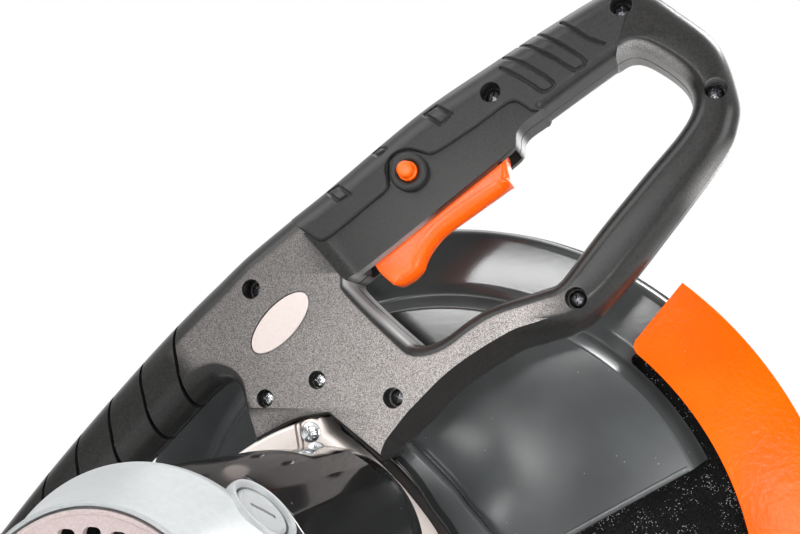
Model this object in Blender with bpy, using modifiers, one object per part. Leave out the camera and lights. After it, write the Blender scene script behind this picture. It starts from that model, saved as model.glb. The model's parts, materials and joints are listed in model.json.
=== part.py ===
"""Abrasive metal cut-off machine: base, pivoting head, motor, gears, wheel, guards, handle and vice.

Metres, +Z up, +X towards the user, +Y away from the motor. Every place is given from the centre of the
cutting wheel with the head raised. The empty "machine" then sets the object on its origin, the middle
of its bounding box at the height of the feet.
"""

import math

import bmesh
import bpy
from mathutils import Matrix, Vector

# Clearances, and how far the tools that only cut reach past a face
GAP = 0.0003
RUN = 0.001
CUT_PAST = 0.02

# Wheel and spindle
WHEEL_RADIUS = 0.1775
WHEEL_THICK = 0.003
FLANGE_RADIUS = 0.038
FLANGE_THICK = 0.007
FLANGE_FACE = 0.0266
NOSE_RADIUS = 0.0127
NOSE_OUT = 0.001
SHOULDER_RADIUS = 0.0155
SPINDLE_RADIUS = 0.012
TAIL_RADIUS = 0.010
BOLT_RADIUS = 0.005
BOLT_HEAD = 0.0095
BOLT_HEAD_THICK = 0.0075
BOLT_DEPTH = 0.022
BOLT_WASHER = 0.0115
WASHER_THICK = 0.002
FLANGE_EDGE = 0.0042

# Bearings: outer radius, near face and far face
SPINDLE_FRONT = (0.0170, -0.0290, -0.0190)
SPINDLE_REAR = (0.0150, -0.0742, -0.0650)
ROTOR_FRONT = (0.0160, -0.0582, -0.0490)
ROTOR_REAR = 0.0110
ROTOR_REAR_LONG = 0.009

# Gears
MODULE = 0.002
GEAR_TEETH = 35
PINION_TEETH = 15
GEAR_WIDTH = 0.0095
PRESSURE = math.radians(20)
ADDENDUM = 0.8
DEDENDUM = 1.25
TOOTH_SHARE = 0.44
MOTOR_ANGLE = 154.0

# Planes along Y, from the wheel's middle
RIM_FACE = -0.021
PLATEAU_FACE = -0.035
BOSS_FACE = -0.0465
RING_END = -0.060
CASE_END = -0.085
HOUSING_END = -0.2578
CAP_LONG = 0.0272
GEAR_END = -0.0335
FAR_COVER = 0.0203
SHEET = 0.002

# Guards
GUARD_RADIUS = 0.190
GUARD_LIP = 0.0033
PLATEAU_RADIUS = 0.1444
STEP_RADIUS = 0.1524
GUARD_SLOT = 0.0072
GUARD_SLOT_ENDS = (15, 49)
EDGE_SLOPE = 30.3
EDGE_DROP = 0.0128
HUB_COVER_RADIUS = 0.060
SWING_INNER = 0.1582
SWING_OUTER = 0.2009
SWING_FACE = -0.0365
SWING_SHEET = 0.002
SWING_FAR = 0.0275
SWING_TOP = 50.3
SWING_BOTTOM = -45.0
HUB_BOSS_RADIUS = 0.040
HUB_BOSS_HOLE = 0.030
HUB_BOSS_OUT = 0.033
HUB_RING = 0.010
HUB_CATCH = 0.006
HUB_CATCH_THICK = 0.003
RETAINER_WALL = 0.0035
RETAINER_LIP = 0.0015
RETAINER_OVERLAP = 0.003
PINION_ROOM = 0.0145

# Motor
MOTOR_RADIUS = 0.0515
MOTOR_WALL = 0.0035
HUMP_RADIUS = 0.0565
CAP_RADIUS = 0.057
VENT_RADIUS = 0.0465
SHAFT_RADIUS = 0.008
SHAFT_TAIL = 0.006
BEARING_WALL = 0.0045
ARMATURE_RADIUS = 0.031
CORE_NEAR = -0.170
CORE_FAR = -0.112
WINDING = (0.034, 0.044)
WINDING_LONG = 0.008
COMMUTATOR_RADIUS = 0.016
COMMUTATOR_LONG = 0.014
BRUSH_PLACE = -0.244
BRUSH_ANGLE = 47.4
BRUSH_BORE = 0.0105
BRUSH_WALL = 0.003
BRUSH_END = 0.036
BRUSHES = (("upper", BRUSH_ANGLE), ("lower", BRUSH_ANGLE + 180))
HUMP_ANGLES = (12, 74)
HUMP_ENDS = (-0.228, -0.117)
HOUSING_FLOOR = 0.005
CASE_POCKET = -0.072
CASE_POCKET_RADIUS = 0.040
VENT_COLUMNS = 4
VENT_PITCH = 0.009
VENT_SLOT = 0.0064
VENT_REACH = 0.041
FAN_RADIUS = 0.043
FAN_HUB = 0.014
FAN_BACK = 0.014
FAN_DISC = 0.0025
FAN_DEEP = 0.0115
FAN_VANES = 10

# Head pivot and base
PIVOT = Vector((-0.154, 0, -0.197))
PIVOT_HEIGHT = 0.140
PIVOT_SHAFT = 0.008
BARREL_RADIUS = 0.027
BARREL_NEAR = -0.075
BARREL_FAR = -0.020
EAR_THICK = 0.014
SPRING_ROOM = 0.036
ARM_NEAR = -0.062
LUG_NEAR = -0.0735
LUG_FAR = -0.0615
TAB_NEAR = -0.0725
TAB_FAR = -0.0625
ARM_OVER = [(0.0, 0.024), (0.070, 0.026), (0.135, 0.055), (0.200, 0.052)]
ARM_UNDER = [(0.0, -0.022), (0.070, -0.024), (0.165, -0.050), (0.210, -0.045)]
HEAD_TRAVEL = math.radians(35)
STRUT_WIDE = 0.032
STRUT_END = 0.018
STRUT_TIP = 0.012
FOOT_REACH = 0.024
FOOT_BOLT = 0.003
LOCK_REACH = 0.040
LOCK_ANGLE = -36
LOCK_LUG = ((0.020, -24), (0.046, -22), (0.046, -10), (0.020, -8))
LOCK_OUT = 0.0145
LOCK_KNOB = 0.0115
BRACKET_REAR = -0.048
BRACKET_FRONT = 0.046
BRACKET_FLOOR = 0.010
EAR_HALF = 0.044
SHELF = (0.036, 0.074)
SHELF_TALL = 0.022
SHELF_WIDE = 0.022
STOP_X = 0.064
STOP_Y = -0.047
STOP_RADIUS = 0.004
STOP_HEAD = 0.007
STOP_HEAD_TALL = 0.006
SHAFT_HEAD = 0.013
SHAFT_HEAD_THICK = 0.006
SHAFT_NUT_THICK = 0.009
SPRING_WIRE = 0.0025
SPRING_RADIUS = 0.0165
SPRING_TURNS = 5
BASE_REAR = -0.110
BASE_FRONT = 0.410
BASE_NEAR = -0.170
BASE_FAR = 0.110
TABLE = 0.060
SKIRT_FOOT = 0.0155
BASE_WALL = 0.003
CORNER = 0.018
FOOT_RADIUS = 0.017
FOOT_HEIGHT = 0.012
FOOT_STEM = 0.005
FOOT_STEM_LONG = 0.012
FOOT_INSET = 0.026
SLOT_REAR = 0.130
SLOT_FRONT = 0.350
SLOT_HALF = 0.008

# Fence and vice, along X from the head's pivot
FENCE_FACE = 0.155
FENCE_NEAR = -0.150
FENCE_FAR = -0.016
FENCE_TALL = 0.058
FENCE_THICK = 0.008
FENCE_FOOT = 0.042
FENCE_BOLT = -0.040
FENCE_CLAMP = 0.075
FENCE_SWING = 45
FENCE_BOLT_BACK = 0.028
FENCE_WEB = 0.006
FENCE_WEB_PLACE = 0.055
STUD_RADIUS = 0.005
STUD_HEAD = 0.0085
STUD_HEAD_THICK = 0.0065
STUD_NUT_THICK = 0.0075
JAW_FACE = 0.225
JAW_THICK = 0.010
JAW_NEAR = -0.130
JAW_FAR = -0.030
JAW_TALL = 0.055
SCREW_Y = -0.080
SCREW_Z = 0.092
SCREW_RADIUS = 0.009
NUT_BLOCK_BACK = 0.035
NUT_BLOCK_THICK = 0.025
CRANK_OUT = 0.055
CRANK_THICK = 0.010
CRANK_ARM = 0.060
CRANK_HUB = 0.014
KNOB_LONG = 0.042
KNOB_CAP = 0.007
KNOB_STUD = 0.0035
NUT_BLOCK_WIDE = 0.048
NUT_BLOCK_OVER = 0.018
BLOCK_EDGE = 0.003
JAW_BOSS = 0.016
JAW_BOSS_LONG = 0.018
JAW_FOOT_WIDE = 0.060
JAW_FOOT_THICK = 0.008

# Handle
HANDLE_NEAR = -0.0855
HANDLE_FAR = -0.0495
HANDLE_ROUND = 0.007
HANDLE_WALL = 0.0045
HANDLE_SKIN = 0.0035
BEND = (-0.1617, -0.052)
BEND_OUTER = 0.110
TUBE_DEEP = 0.035
BEND_START = 141
BEND_END = 215
PILLAR = 0.0085
RECESS = 0.0052
RECESS_DEEP = 0.011
TAB_THREAD = 0.0028
TAB_BOLT_HOLE = 0.0047
INLET_ANGLE = 196
INLET_RADIUS = 0.0055
INLET_COLLAR = 0.0085
INLET_LONG = 0.010
CORD_RADIUS = 0.0035
BUTTON = (-0.0018, 0.2093)
BUTTON_RADIUS = 0.0047
BUTTON_OUT = 0.0095
COLLAR_RADIUS = 0.0095
COLLAR_THICK = 0.0028
COLLAR_ROOM = 0.0008
BADGE = (-0.0709, 0.1345)
BADGE_LEAN = math.radians(45)
BADGE_THICK = 0.001
BADGE_LONG = 0.0404
BADGE_WIDE = 0.018
TRIGGER_NEAR = -0.0765
TRIGGER_FAR = -0.0585
TRIGGER_PIVOT = (0.0395, 0.2175)
TRIGGER_PIN = 0.003
PIN_SKIN = 0.0018
SWITCH = (0.0170, 0.2260)
SWITCH_LONG = 0.030
SWITCH_DEEP = 0.016
GRIP_LEAN = math.radians(36.5)

PARTING = (HANDLE_NEAR + HANDLE_FAR) / 2
FLANGE_EDGE_RADIUS = GUARD_RADIUS + GUARD_LIP
CAP_END = HOUSING_END - CAP_LONG
GEAR_CENTRES = MODULE * (GEAR_TEETH + PINION_TEETH) / 2
MOTOR_X = GEAR_CENTRES * math.cos(math.radians(MOTOR_ANGLE))
MOTOR_Z = GEAR_CENTRES * math.sin(math.radians(MOTOR_ANGLE))
GEAR_NEAR = GEAR_END - GEAR_WIDTH
FLOOR = PIVOT.z - PIVOT_HEIGHT
NUT_BLOCK = BASE_FRONT - NUT_BLOCK_BACK
CRANK = BASE_FRONT + CRANK_OUT
KNOB_END = PIVOT.x + CRANK + CRANK_THICK + KNOB_LONG
MIDDLE_X = (BEND[0] - BEND_OUTER + KNOB_END) / 2
MIDDLE_Y = (CAP_END + BASE_FAR) / 2

# Outlines of the gear case, its ring and the guard's boss, in X and Z
CASE_TOP = [(-0.0949, 0.0672), (-0.0800, 0.0762), (-0.0646, 0.0826), (-0.0486, 0.0864)]
CASE_SIDE = [(-0.0452, 0.0792), (-0.0344, 0.0714), (-0.0219, 0.0609), (-0.0097, 0.0489), (0.0058, 0.0299)]
CASE_REST = [(0.0160, 0.0100), (0.0150, -0.0130), (0.0000, -0.0280), (-0.0300, -0.0360), (-0.0620, -0.0370),
             (-0.0900, -0.0200), (-0.1050, 0.0120), (-0.1040, 0.0420)]
RING_TOP = [(-0.0949, 0.0665), (-0.0800, 0.0755), (-0.0646, 0.0820), (-0.0486, 0.0858)]
RING_SIDE = [(-0.0430, 0.0810), (-0.0300, 0.0740), (-0.0165, 0.0646), (-0.0060, 0.0542), (0.0032, 0.0410),
             (0.0125, 0.0291)]
RING_REST = [(0.0220, 0.0090), (0.0210, -0.0150), (0.0030, -0.0320), (-0.0300, -0.0410), (-0.0640, -0.0420),
             (-0.0940, -0.0230), (-0.1090, 0.0120), (-0.1070, 0.0420)]
BOSS = [(-0.0088, 0.0690), (0.0090, 0.0520), (0.0185, 0.0407), (0.0265, 0.0320), (0.0380, 0.0175),
        (0.0418, -0.0030), (0.0355, -0.0245), (0.0140, -0.0405), (-0.0160, -0.0470), (-0.0480, -0.0500),
        (-0.0820, -0.0420), (-0.1060, -0.0180), (-0.1160, 0.0100), (-0.1140, 0.0400), (-0.1020, 0.0640),
        (-0.0800, 0.0830), (-0.0520, 0.0900), (-0.0260, 0.0830)]

# Outline of the handle at its parting plane, in X and Z
HANDLE_TOP = [(-0.2114, 0.0554), (-0.1724, 0.0970), (-0.1336, 0.1357), (-0.0953, 0.1695), (-0.0493, 0.2041),
              (0.0004, 0.2413), (0.0377, 0.2638), (0.0686, 0.2814), (0.0926, 0.2937), (0.1045, 0.2985),
              (0.1167, 0.2930), (0.1305, 0.2814), (0.1485, 0.2633), (0.1564, 0.2381), (0.1559, 0.2238),
              (0.1486, 0.2084), (0.1226, 0.1741), (0.0986, 0.1444), (0.0817, 0.1296), (0.0649, 0.1238),
              (0.0500, 0.1189), (0.0247, 0.1029), (0.0039, 0.0833), (-0.0161, 0.0660)]
HANDLE_FOOT = [(-0.0441, 0.0885), (-0.0620, 0.0850), (-0.0839, 0.0743)]
HANDLE_LOW = [(-0.0900, 0.0905), (-0.0964, 0.1033), (-0.1071, 0.1049), (-0.1184, 0.0988), (-0.1394, 0.0787),
              (-0.1562, 0.0622), (-0.1891, 0.0296)]
HOLE_UNDER = [(-0.0038, 0.1252), (0.0020, 0.1223), (0.0130, 0.1250), (0.0275, 0.1349), (0.0403, 0.1417),
              (0.0629, 0.1487), (0.0713, 0.1520), (0.0803, 0.1630), (0.0932, 0.1794), (0.1123, 0.2021),
              (0.1292, 0.2217), (0.1356, 0.2340), (0.1336, 0.2450), (0.1232, 0.2560), (0.1102, 0.2635),
              (0.0980, 0.2590)]
HOLE_OVER = [(0.0640, 0.2370), (0.0550, 0.2290), (0.0490, 0.2190), (0.0400, 0.2100), (-0.0200, 0.1655),
             (-0.0320, 0.1570), (-0.0330, 0.1515)]
PANEL_EDGE = [(-0.0655, 0.1873), (-0.0550, 0.1790), (-0.0466, 0.1771), (-0.0250, 0.1926), (-0.0144, 0.2008),
              (-0.0139, 0.2111), (-0.0086, 0.2200), (-0.0023, 0.2211), (0.0076, 0.2179), (0.0322, 0.2304),
              (0.0489, 0.2412), (0.0600, 0.2353)]
HANDLE_SCREWS = [(0.1041, 0.2843), (0.1458, 0.2398), (0.0400, 0.2470), (0.0799, 0.1440), (-0.0876, 0.1524),
                 (-0.0101, 0.0967)]
TAB_BOLTS = [(-0.0502, 0.1054), (-0.0787, 0.0959)]
TAB = [(-0.0800, 0.0700), (-0.0560, 0.0760), (-0.0440, 0.1080), (-0.0540, 0.1140), (-0.0820, 0.1050)]
TRIGGER_FACE = [(0.0463, 0.2107), (0.0472, 0.2054), (0.0461, 0.2014), (0.0300, 0.1903), (0.0141, 0.1796),
                (0.0067, 0.1721), (0.0029, 0.1659), (0.0008, 0.1608), (-0.0030, 0.1568), (-0.0084, 0.1538),
                (-0.0127, 0.1534), (-0.0145, 0.1549), (-0.0231, 0.1644)]
TRIGGER_BACK = [(-0.0215, 0.1705), (0.0295, 0.2165), (0.0400, 0.2235), (0.0455, 0.2180)]
TRIGGER_ROOM = [(0.0530, 0.2080), (0.0480, 0.1900), (-0.0100, 0.1450), (-0.0300, 0.1600), (-0.0330, 0.1800),
                (0.0250, 0.2240), (0.0400, 0.2290), (0.0500, 0.2250)]


def clear_scene():
    for obj in list(bpy.data.objects):
        bpy.data.objects.remove(obj, do_unlink=True)


def collection(name, hidden=False):
    made = bpy.data.collections.new(name)
    bpy.context.scene.collection.children.link(made)
    made.hide_render = hidden
    return made


clear_scene()
PARTS = collection("cut_off_machine")
CUTTERS = collection("cutters", hidden=True)
MACHINE = bpy.data.objects.new("machine", None)
MACHINE.location = (-MIDDLE_X, -MIDDLE_Y, -FLOOR)
PARTS.objects.link(MACHINE)
AXIS_PLACES = {MACHINE: Vector((0, 0, 0))}


def material(name, colour, roughness, metallic=0.0):
    made = bpy.data.materials.new(name)
    made.use_nodes = True
    shader = made.node_tree.nodes["Principled BSDF"]
    shader.inputs["Base Color"].default_value = (*colour, 1)
    shader.inputs["Roughness"].default_value = roughness
    shader.inputs["Metallic"].default_value = metallic
    return made


STEEL = material("steel", (0.55, 0.56, 0.57), 0.35, 1.0)
DARK_STEEL = material("dark_steel", (0.16, 0.16, 0.17), 0.45, 1.0)
ALUMINIUM = material("cast_aluminium", (0.66, 0.67, 0.68), 0.45, 1.0)
GUARD_PAINT = material("guard_paint", (0.07, 0.08, 0.10), 0.35)
ORANGE_PAINT = material("orange_paint", (0.85, 0.22, 0.03), 0.35)
BASE_PAINT = material("base_paint", (0.10, 0.11, 0.12), 0.5)
SHELL_PLASTIC = material("shell_plastic", (0.05, 0.05, 0.05), 0.6)
ORANGE_PLASTIC = material("orange_plastic", (0.90, 0.24, 0.03), 0.45)
GLOSS_BLACK = material("gloss_black", (0.02, 0.02, 0.022), 0.2)
PALE_PLASTIC = material("pale_plastic", (0.66, 0.66, 0.67), 0.4)
SOFT_GRIP = material("soft_grip", (0.04, 0.04, 0.045), 0.7)
RUBBER = material("rubber", (0.03, 0.03, 0.03), 0.8)
ABRASIVE = material("abrasive", (0.03, 0.03, 0.03), 0.9)
COPPER = material("copper", (0.72, 0.38, 0.2), 0.35, 1.0)
CARBON = material("carbon", (0.05, 0.05, 0.05), 0.6)


def finish(obj, coat, cutter=False):
    """Puts the object in its collection, under the machine's empty, with its material."""
    if cutter:
        CUTTERS.objects.link(obj)
        obj.hide_render = True
        obj.display_type = "WIRE"
    else:
        PARTS.objects.link(obj)
        obj.data.materials.append(coat)
    obj.parent = MACHINE
    return obj


def axis_empty(name, place, parent=MACHINE):
    """An empty on a joint's axis. The pieces that move with the joint are its children."""
    made = bpy.data.objects.new(name, None)
    made.empty_display_size = 0.02
    made.location = Vector(place) - AXIS_PLACES[parent]
    PARTS.objects.link(made)
    made.parent = parent
    AXIS_PLACES[made] = Vector(place)
    return made


def hang(axis, *pieces):
    for piece in pieces:
        piece.parent = axis
        piece.matrix_parent_inverse = Matrix.Translation(-AXIS_PLACES[axis])


def mesh_object(name, bm, coat=None):
    bmesh.ops.recalc_face_normals(bm, faces=bm.faces)
    mesh = bpy.data.meshes.new(name)
    bm.to_mesh(mesh)
    bm.free()
    return finish(bpy.data.objects.new(name, mesh), coat, coat is None)


def box(name, low, high, coat=None):
    bm = bmesh.new()
    bmesh.ops.create_cube(bm, size=1)
    low, high = Vector(low), Vector(high)
    bmesh.ops.scale(bm, vec=high - low, verts=bm.verts)
    bmesh.ops.translate(bm, vec=(high + low) / 2, verts=bm.verts)
    return mesh_object(name, bm, coat)


def rod(name, start, end, radius, coat=None, sides=16):
    """A cylinder between two points."""
    start, end = Vector(start), Vector(end)
    bm = bmesh.new()
    bmesh.ops.create_cone(bm, cap_ends=True, segments=sides, radius1=radius, radius2=radius,
                          depth=(end - start).length)
    turn = (end - start).to_track_quat("Z", "Y").to_matrix().to_4x4()
    bmesh.ops.transform(bm, matrix=Matrix.Translation((start + end) / 2) @ turn, verts=bm.verts)
    made = mesh_object(name, bm, coat)
    made.data.shade_smooth()
    made.data.set_sharp_from_angle(angle=math.radians(40))
    return made


def shoelace(points):
    return sum(a[0] * b[1] - b[0] * a[1] for a, b in zip(points, points[1:] + points[:1])) / 2


def turned(name, profile, centre, coat=None, sides=32, axis=(0, 1, 0), sweep=360, start=0, wall=0):
    """A turned shape. The profile gives radius and distance along the axis from the centre.

    With a wall it is an open line, thickened inwards, and may sweep part of a turn.
    """
    closed = wall == 0
    if closed and shoelace(profile) > 0:
        profile = profile[::-1]
    bm = bmesh.new()
    turn = Matrix.Rotation(math.radians(start), 3, "Z")
    corners = [bm.verts.new(turn @ Vector((r, 0, along))) for r, along in profile]
    for a, b in zip(corners, corners[1:]):
        bm.edges.new((a, b))
    on_axis = closed and profile[0][0] == 0 and profile[-1][0] == 0
    if closed and not on_axis:
        bm.edges.new((corners[-1], corners[0]))
    mesh = bpy.data.meshes.new(name)
    bm.to_mesh(mesh)
    bm.free()
    made = finish(bpy.data.objects.new(name, mesh), coat, coat is None)
    made.location = centre
    made.rotation_mode = "QUATERNION"
    if tuple(axis) == (0, 1, 0):
        made.rotation_quaternion = Matrix.Rotation(math.radians(-90), 3, "X").to_quaternion()
    else:
        made.rotation_quaternion = Vector(axis).to_track_quat("Z", "Y")
    screw = made.modifiers.new("turn", "SCREW")
    screw.axis = "Z"
    screw.angle = math.radians(sweep)
    screw.steps = screw.render_steps = sides
    screw.use_merge_vertices = sweep == 360
    screw.merge_threshold = 0.00001
    if wall:
        thick = made.modifiers.new("wall", "SOLIDIFY")
        thick.thickness = wall
        thick.offset = 1
    return made


def arc(centre, radius, start, end, steps):
    """Points on an arc, both ends included, with angles in degrees."""
    turns = [math.radians(start + (end - start) * i / steps) for i in range(steps + 1)]
    return [(centre[0] + radius * math.cos(t), centre[1] + radius * math.sin(t)) for t in turns]


def smooth(points, steps=2, closed=False):
    """A Catmull-Rom curve through the points."""
    if closed:
        line = [points[-1], *points, points[0], points[1]]
    else:
        line = [points[0], *points, points[-1]]
    found = []
    for a, b, c, d in zip(line, line[1:], line[2:], line[3:]):
        for i in range(steps):
            t = i / steps
            found.append(tuple(
                0.5 * (2 * q + (r - p) * t + (2 * p - 5 * q + 4 * r - s) * t**2
                       + (3 * q - p - 3 * r + s) * t**3)
                for p, q, r, s in zip(a, b, c, d)
            ))
    return found if closed else [*found, points[-1]]


def inset(points, distance):
    """The closed outline moved inwards along the mitre of each corner, or outwards if negative."""
    inward = 1 if shoelace(points) > 0 else -1
    found = []
    for before, here, after in zip(points[-1:] + points[:-1], points, points[1:] + points[:1]):
        first = (Vector(here) - Vector(before)).normalized()
        second = (Vector(after) - Vector(here)).normalized()
        normal = (first + second).normalized().orthogonal() * inward
        stretch = max(0.5, normal.dot(first.orthogonal() * inward))
        found.append(tuple(Vector(here) + normal * distance / stretch))
    return found


def slab(name, loops, near, far, coat=None, plane="XZ", rounded=0):
    """A flat outline, with any holes, extruded between two planes. Rounded ones have soft edges."""
    curve = bpy.data.curves.new(name + "_outline", "CURVE")
    curve.dimensions = "2D"
    curve.fill_mode = "BOTH"
    curve.extrude = (far - near) / 2 - rounded
    curve.bevel_depth = rounded
    curve.bevel_resolution = 1
    for number, loop in enumerate(loops):
        wanted = 1 if number == 0 else -1
        points = loop if shoelace(loop) * wanted > 0 else loop[::-1]
        if rounded:
            points = inset(points, rounded * wanted)
        spline = curve.splines.new("POLY")
        spline.points.add(len(points) - 1)
        for point, (x, y) in zip(spline.points, points):
            point.co = (x, y, 0, 1)
        spline.use_cyclic_u = True
    flat = bpy.data.objects.new(name + "_outline", curve)
    bpy.context.scene.collection.objects.link(flat)
    graph = bpy.context.evaluated_depsgraph_get()
    mesh = bpy.data.meshes.new_from_object(flat.evaluated_get(graph))
    bpy.data.objects.remove(flat, do_unlink=True)
    mesh.name = name
    bm = bmesh.new()
    bm.from_mesh(mesh)
    bmesh.ops.remove_doubles(bm, verts=bm.verts, dist=0.000002)
    bmesh.ops.recalc_face_normals(bm, faces=bm.faces)
    bm.to_mesh(mesh)
    bm.free()
    mesh.materials.clear()
    made = finish(bpy.data.objects.new(name, mesh), coat, coat is None)
    middle = (near + far) / 2
    if plane == "XZ":
        made.rotation_euler = (math.radians(90), 0, 0)
        made.location = (0, middle, 0)
    elif plane == "YZ":
        made.rotation_euler = (math.radians(90), 0, math.radians(90))
        made.location = (middle, 0, 0)
    else:
        made.location = (0, 0, middle)
    return made


def boolean(obj, operation, tools):
    for tool in tools:
        step = obj.modifiers.new(operation.lower(), "BOOLEAN")
        step.operation = operation
        step.solver = "EXACT"
        step.object = tool
    return obj


def cut(obj, *tools):
    return boolean(obj, "DIFFERENCE", tools)


def join(obj, *tools):
    return boolean(obj, "UNION", tools)


def keep(obj, *tools):
    return boolean(obj, "INTERSECT", tools)


def soften(obj, width, segments=2):
    edge = obj.modifiers.new("soft_edges", "BEVEL")
    edge.width = width
    edge.segments = segments
    edge.limit_method = "ANGLE"
    edge.angle_limit = math.radians(50)
    return obj


def ring_profile(inner, outer, near, far):
    return [(outer, far), (outer, near), (inner, near), (inner, far)]


def around(x, z, y=0.0):
    return (x, y, z)


def polar(centre, radius, degrees):
    turn = math.radians(degrees)
    return centre[0] + radius * math.cos(turn), centre[1] + radius * math.sin(turn)


def gear_outline(teeth, first_tooth):
    """Involute teeth. A tooth's middle points at the angle given, in degrees."""
    pitch = MODULE * teeth / 2
    base = pitch * math.cos(PRESSURE)
    tip = pitch + ADDENDUM * MODULE
    root = pitch - DEDENDUM * MODULE

    def spread(radius):
        turn = math.acos(min(1, base / radius))
        return math.tan(turn) - turn

    half = TOOTH_SHARE * math.pi / teeth + spread(pitch)
    radii = [root, pitch, tip]
    points = []
    for tooth in range(teeth):
        middle = math.radians(first_tooth) + 2 * math.pi * tooth / teeth
        rising = [(r, middle - half + spread(max(r, base))) for r in radii]
        falling = [(r, middle + half - spread(max(r, base))) for r in reversed(radii)]
        for radius, turn in rising + falling:
            points.append((radius * math.cos(turn), radius * math.sin(turn)))
    return points


def shifted(points, x, z):
    return [(px + x, pz + z) for px, pz in points]


MOTOR = (MOTOR_X, MOTOR_Z)
CASE = smooth([*CASE_TOP], 2) + smooth([*CASE_SIDE, *CASE_REST, CASE_TOP[0]], 2)[:-1]
RING = smooth([*RING_TOP], 2) + smooth([*RING_SIDE, *RING_REST, RING_TOP[0]], 2)[:-1]
BOSS_LINE = smooth(BOSS, 2, closed=True)


def below_edge(keep_radius):
    """The area under the fixed guard's lower edge, less a disc that stays around the spindle."""
    slope = math.radians(EDGE_SLOPE)
    along = Vector((math.cos(slope), math.sin(slope)))
    down = Vector((math.sin(slope), -math.cos(slope)))
    half = math.sqrt(keep_radius**2 - EDGE_DROP**2)
    reach = FLANGE_EDGE_RADIUS * 1.5
    start = math.degrees(math.atan2(EDGE_DROP, half))
    ends = [down * EDGE_DROP + along * side * reach for side in (-1, 1)]
    lobe = arc((0, 0), keep_radius, 180 + EDGE_SLOPE + start, 360 + EDGE_SLOPE - start, 14)
    under = [tuple(end + down * reach) for end in ends[::-1]]
    return [tuple(ends[0]), *lobe, tuple(ends[1]), *under]


def build_wheel(axis):
    half = WHEEL_THICK / 2
    wheel = turned("cutting_wheel", ring_profile(NOSE_RADIUS + GAP, WHEEL_RADIUS, -half, half), (0, 0, 0),
                   ABRASIVE, 48)
    near = -half - GAP
    inner = turned("inner_flange", [(FLANGE_RADIUS, near), (FLANGE_RADIUS, near - FLANGE_EDGE),
                                    (FLANGE_FACE, near - FLANGE_THICK),
                                    (NOSE_RADIUS + GAP, near - FLANGE_THICK), (NOSE_RADIUS + GAP, near)],
                   (0, 0, 0), STEEL, 28)
    far = half + GAP
    outer = turned("outer_flange", [(FLANGE_FACE, far + FLANGE_THICK), (FLANGE_RADIUS, far + FLANGE_EDGE),
                                    (FLANGE_RADIUS, far), (BOLT_RADIUS + GAP, far),
                                    (BOLT_RADIUS + GAP, far + FLANGE_THICK)], (0, 0, 0), STEEL, 28)
    seat = far + FLANGE_THICK + GAP
    bolt = rod("wheel_bolt", (0, seat, 0), (0, seat + BOLT_HEAD_THICK, 0), BOLT_HEAD, STEEL, 6)
    washer = rod("wheel_bolt_collar", (0, seat, 0), (0, seat + WASHER_THICK, 0), BOLT_WASHER, None, 20)
    shank_end = NOSE_OUT - BOLT_DEPTH + RUN
    shank = rod("wheel_bolt_shank", (0, shank_end, 0), (0, seat + WASHER_THICK / 2, 0), BOLT_RADIUS, None, 14)
    join(bolt, washer, shank)
    shoulder = near - FLANGE_THICK - GAP
    collar = SPINDLE_FRONT[2] + GAP
    tail = SPINDLE_REAR[1] - GAP
    spindle = turned("spindle", [(0, NOSE_OUT - BOLT_DEPTH), (BOLT_RADIUS + GAP, NOSE_OUT - BOLT_DEPTH),
                                 (BOLT_RADIUS + GAP, NOSE_OUT), (NOSE_RADIUS, NOSE_OUT),
                                 (NOSE_RADIUS, shoulder), (SHOULDER_RADIUS, shoulder),
                                 (SHOULDER_RADIUS, collar), (SPINDLE_RADIUS, collar),
                                 (SPINDLE_RADIUS, GEAR_NEAR - 0.002), (TAIL_RADIUS, GEAR_NEAR - 0.002),
                                 (TAIL_RADIUS, tail), (0, tail)], (0, 0, 0), STEEL, 24)
    gear = slab("drive_gear", [gear_outline(GEAR_TEETH, MOTOR_ANGLE)], GEAR_NEAR, GEAR_END, STEEL)
    bore = rod("drive_gear_bore", (0, GEAR_NEAR - 0.01, 0), (0, GEAR_END + 0.01, 0), SPINDLE_RADIUS + GAP,
               None, 24)
    cut(gear, bore)
    hang(axis, wheel, inner, outer, bolt, spindle, gear)


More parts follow.
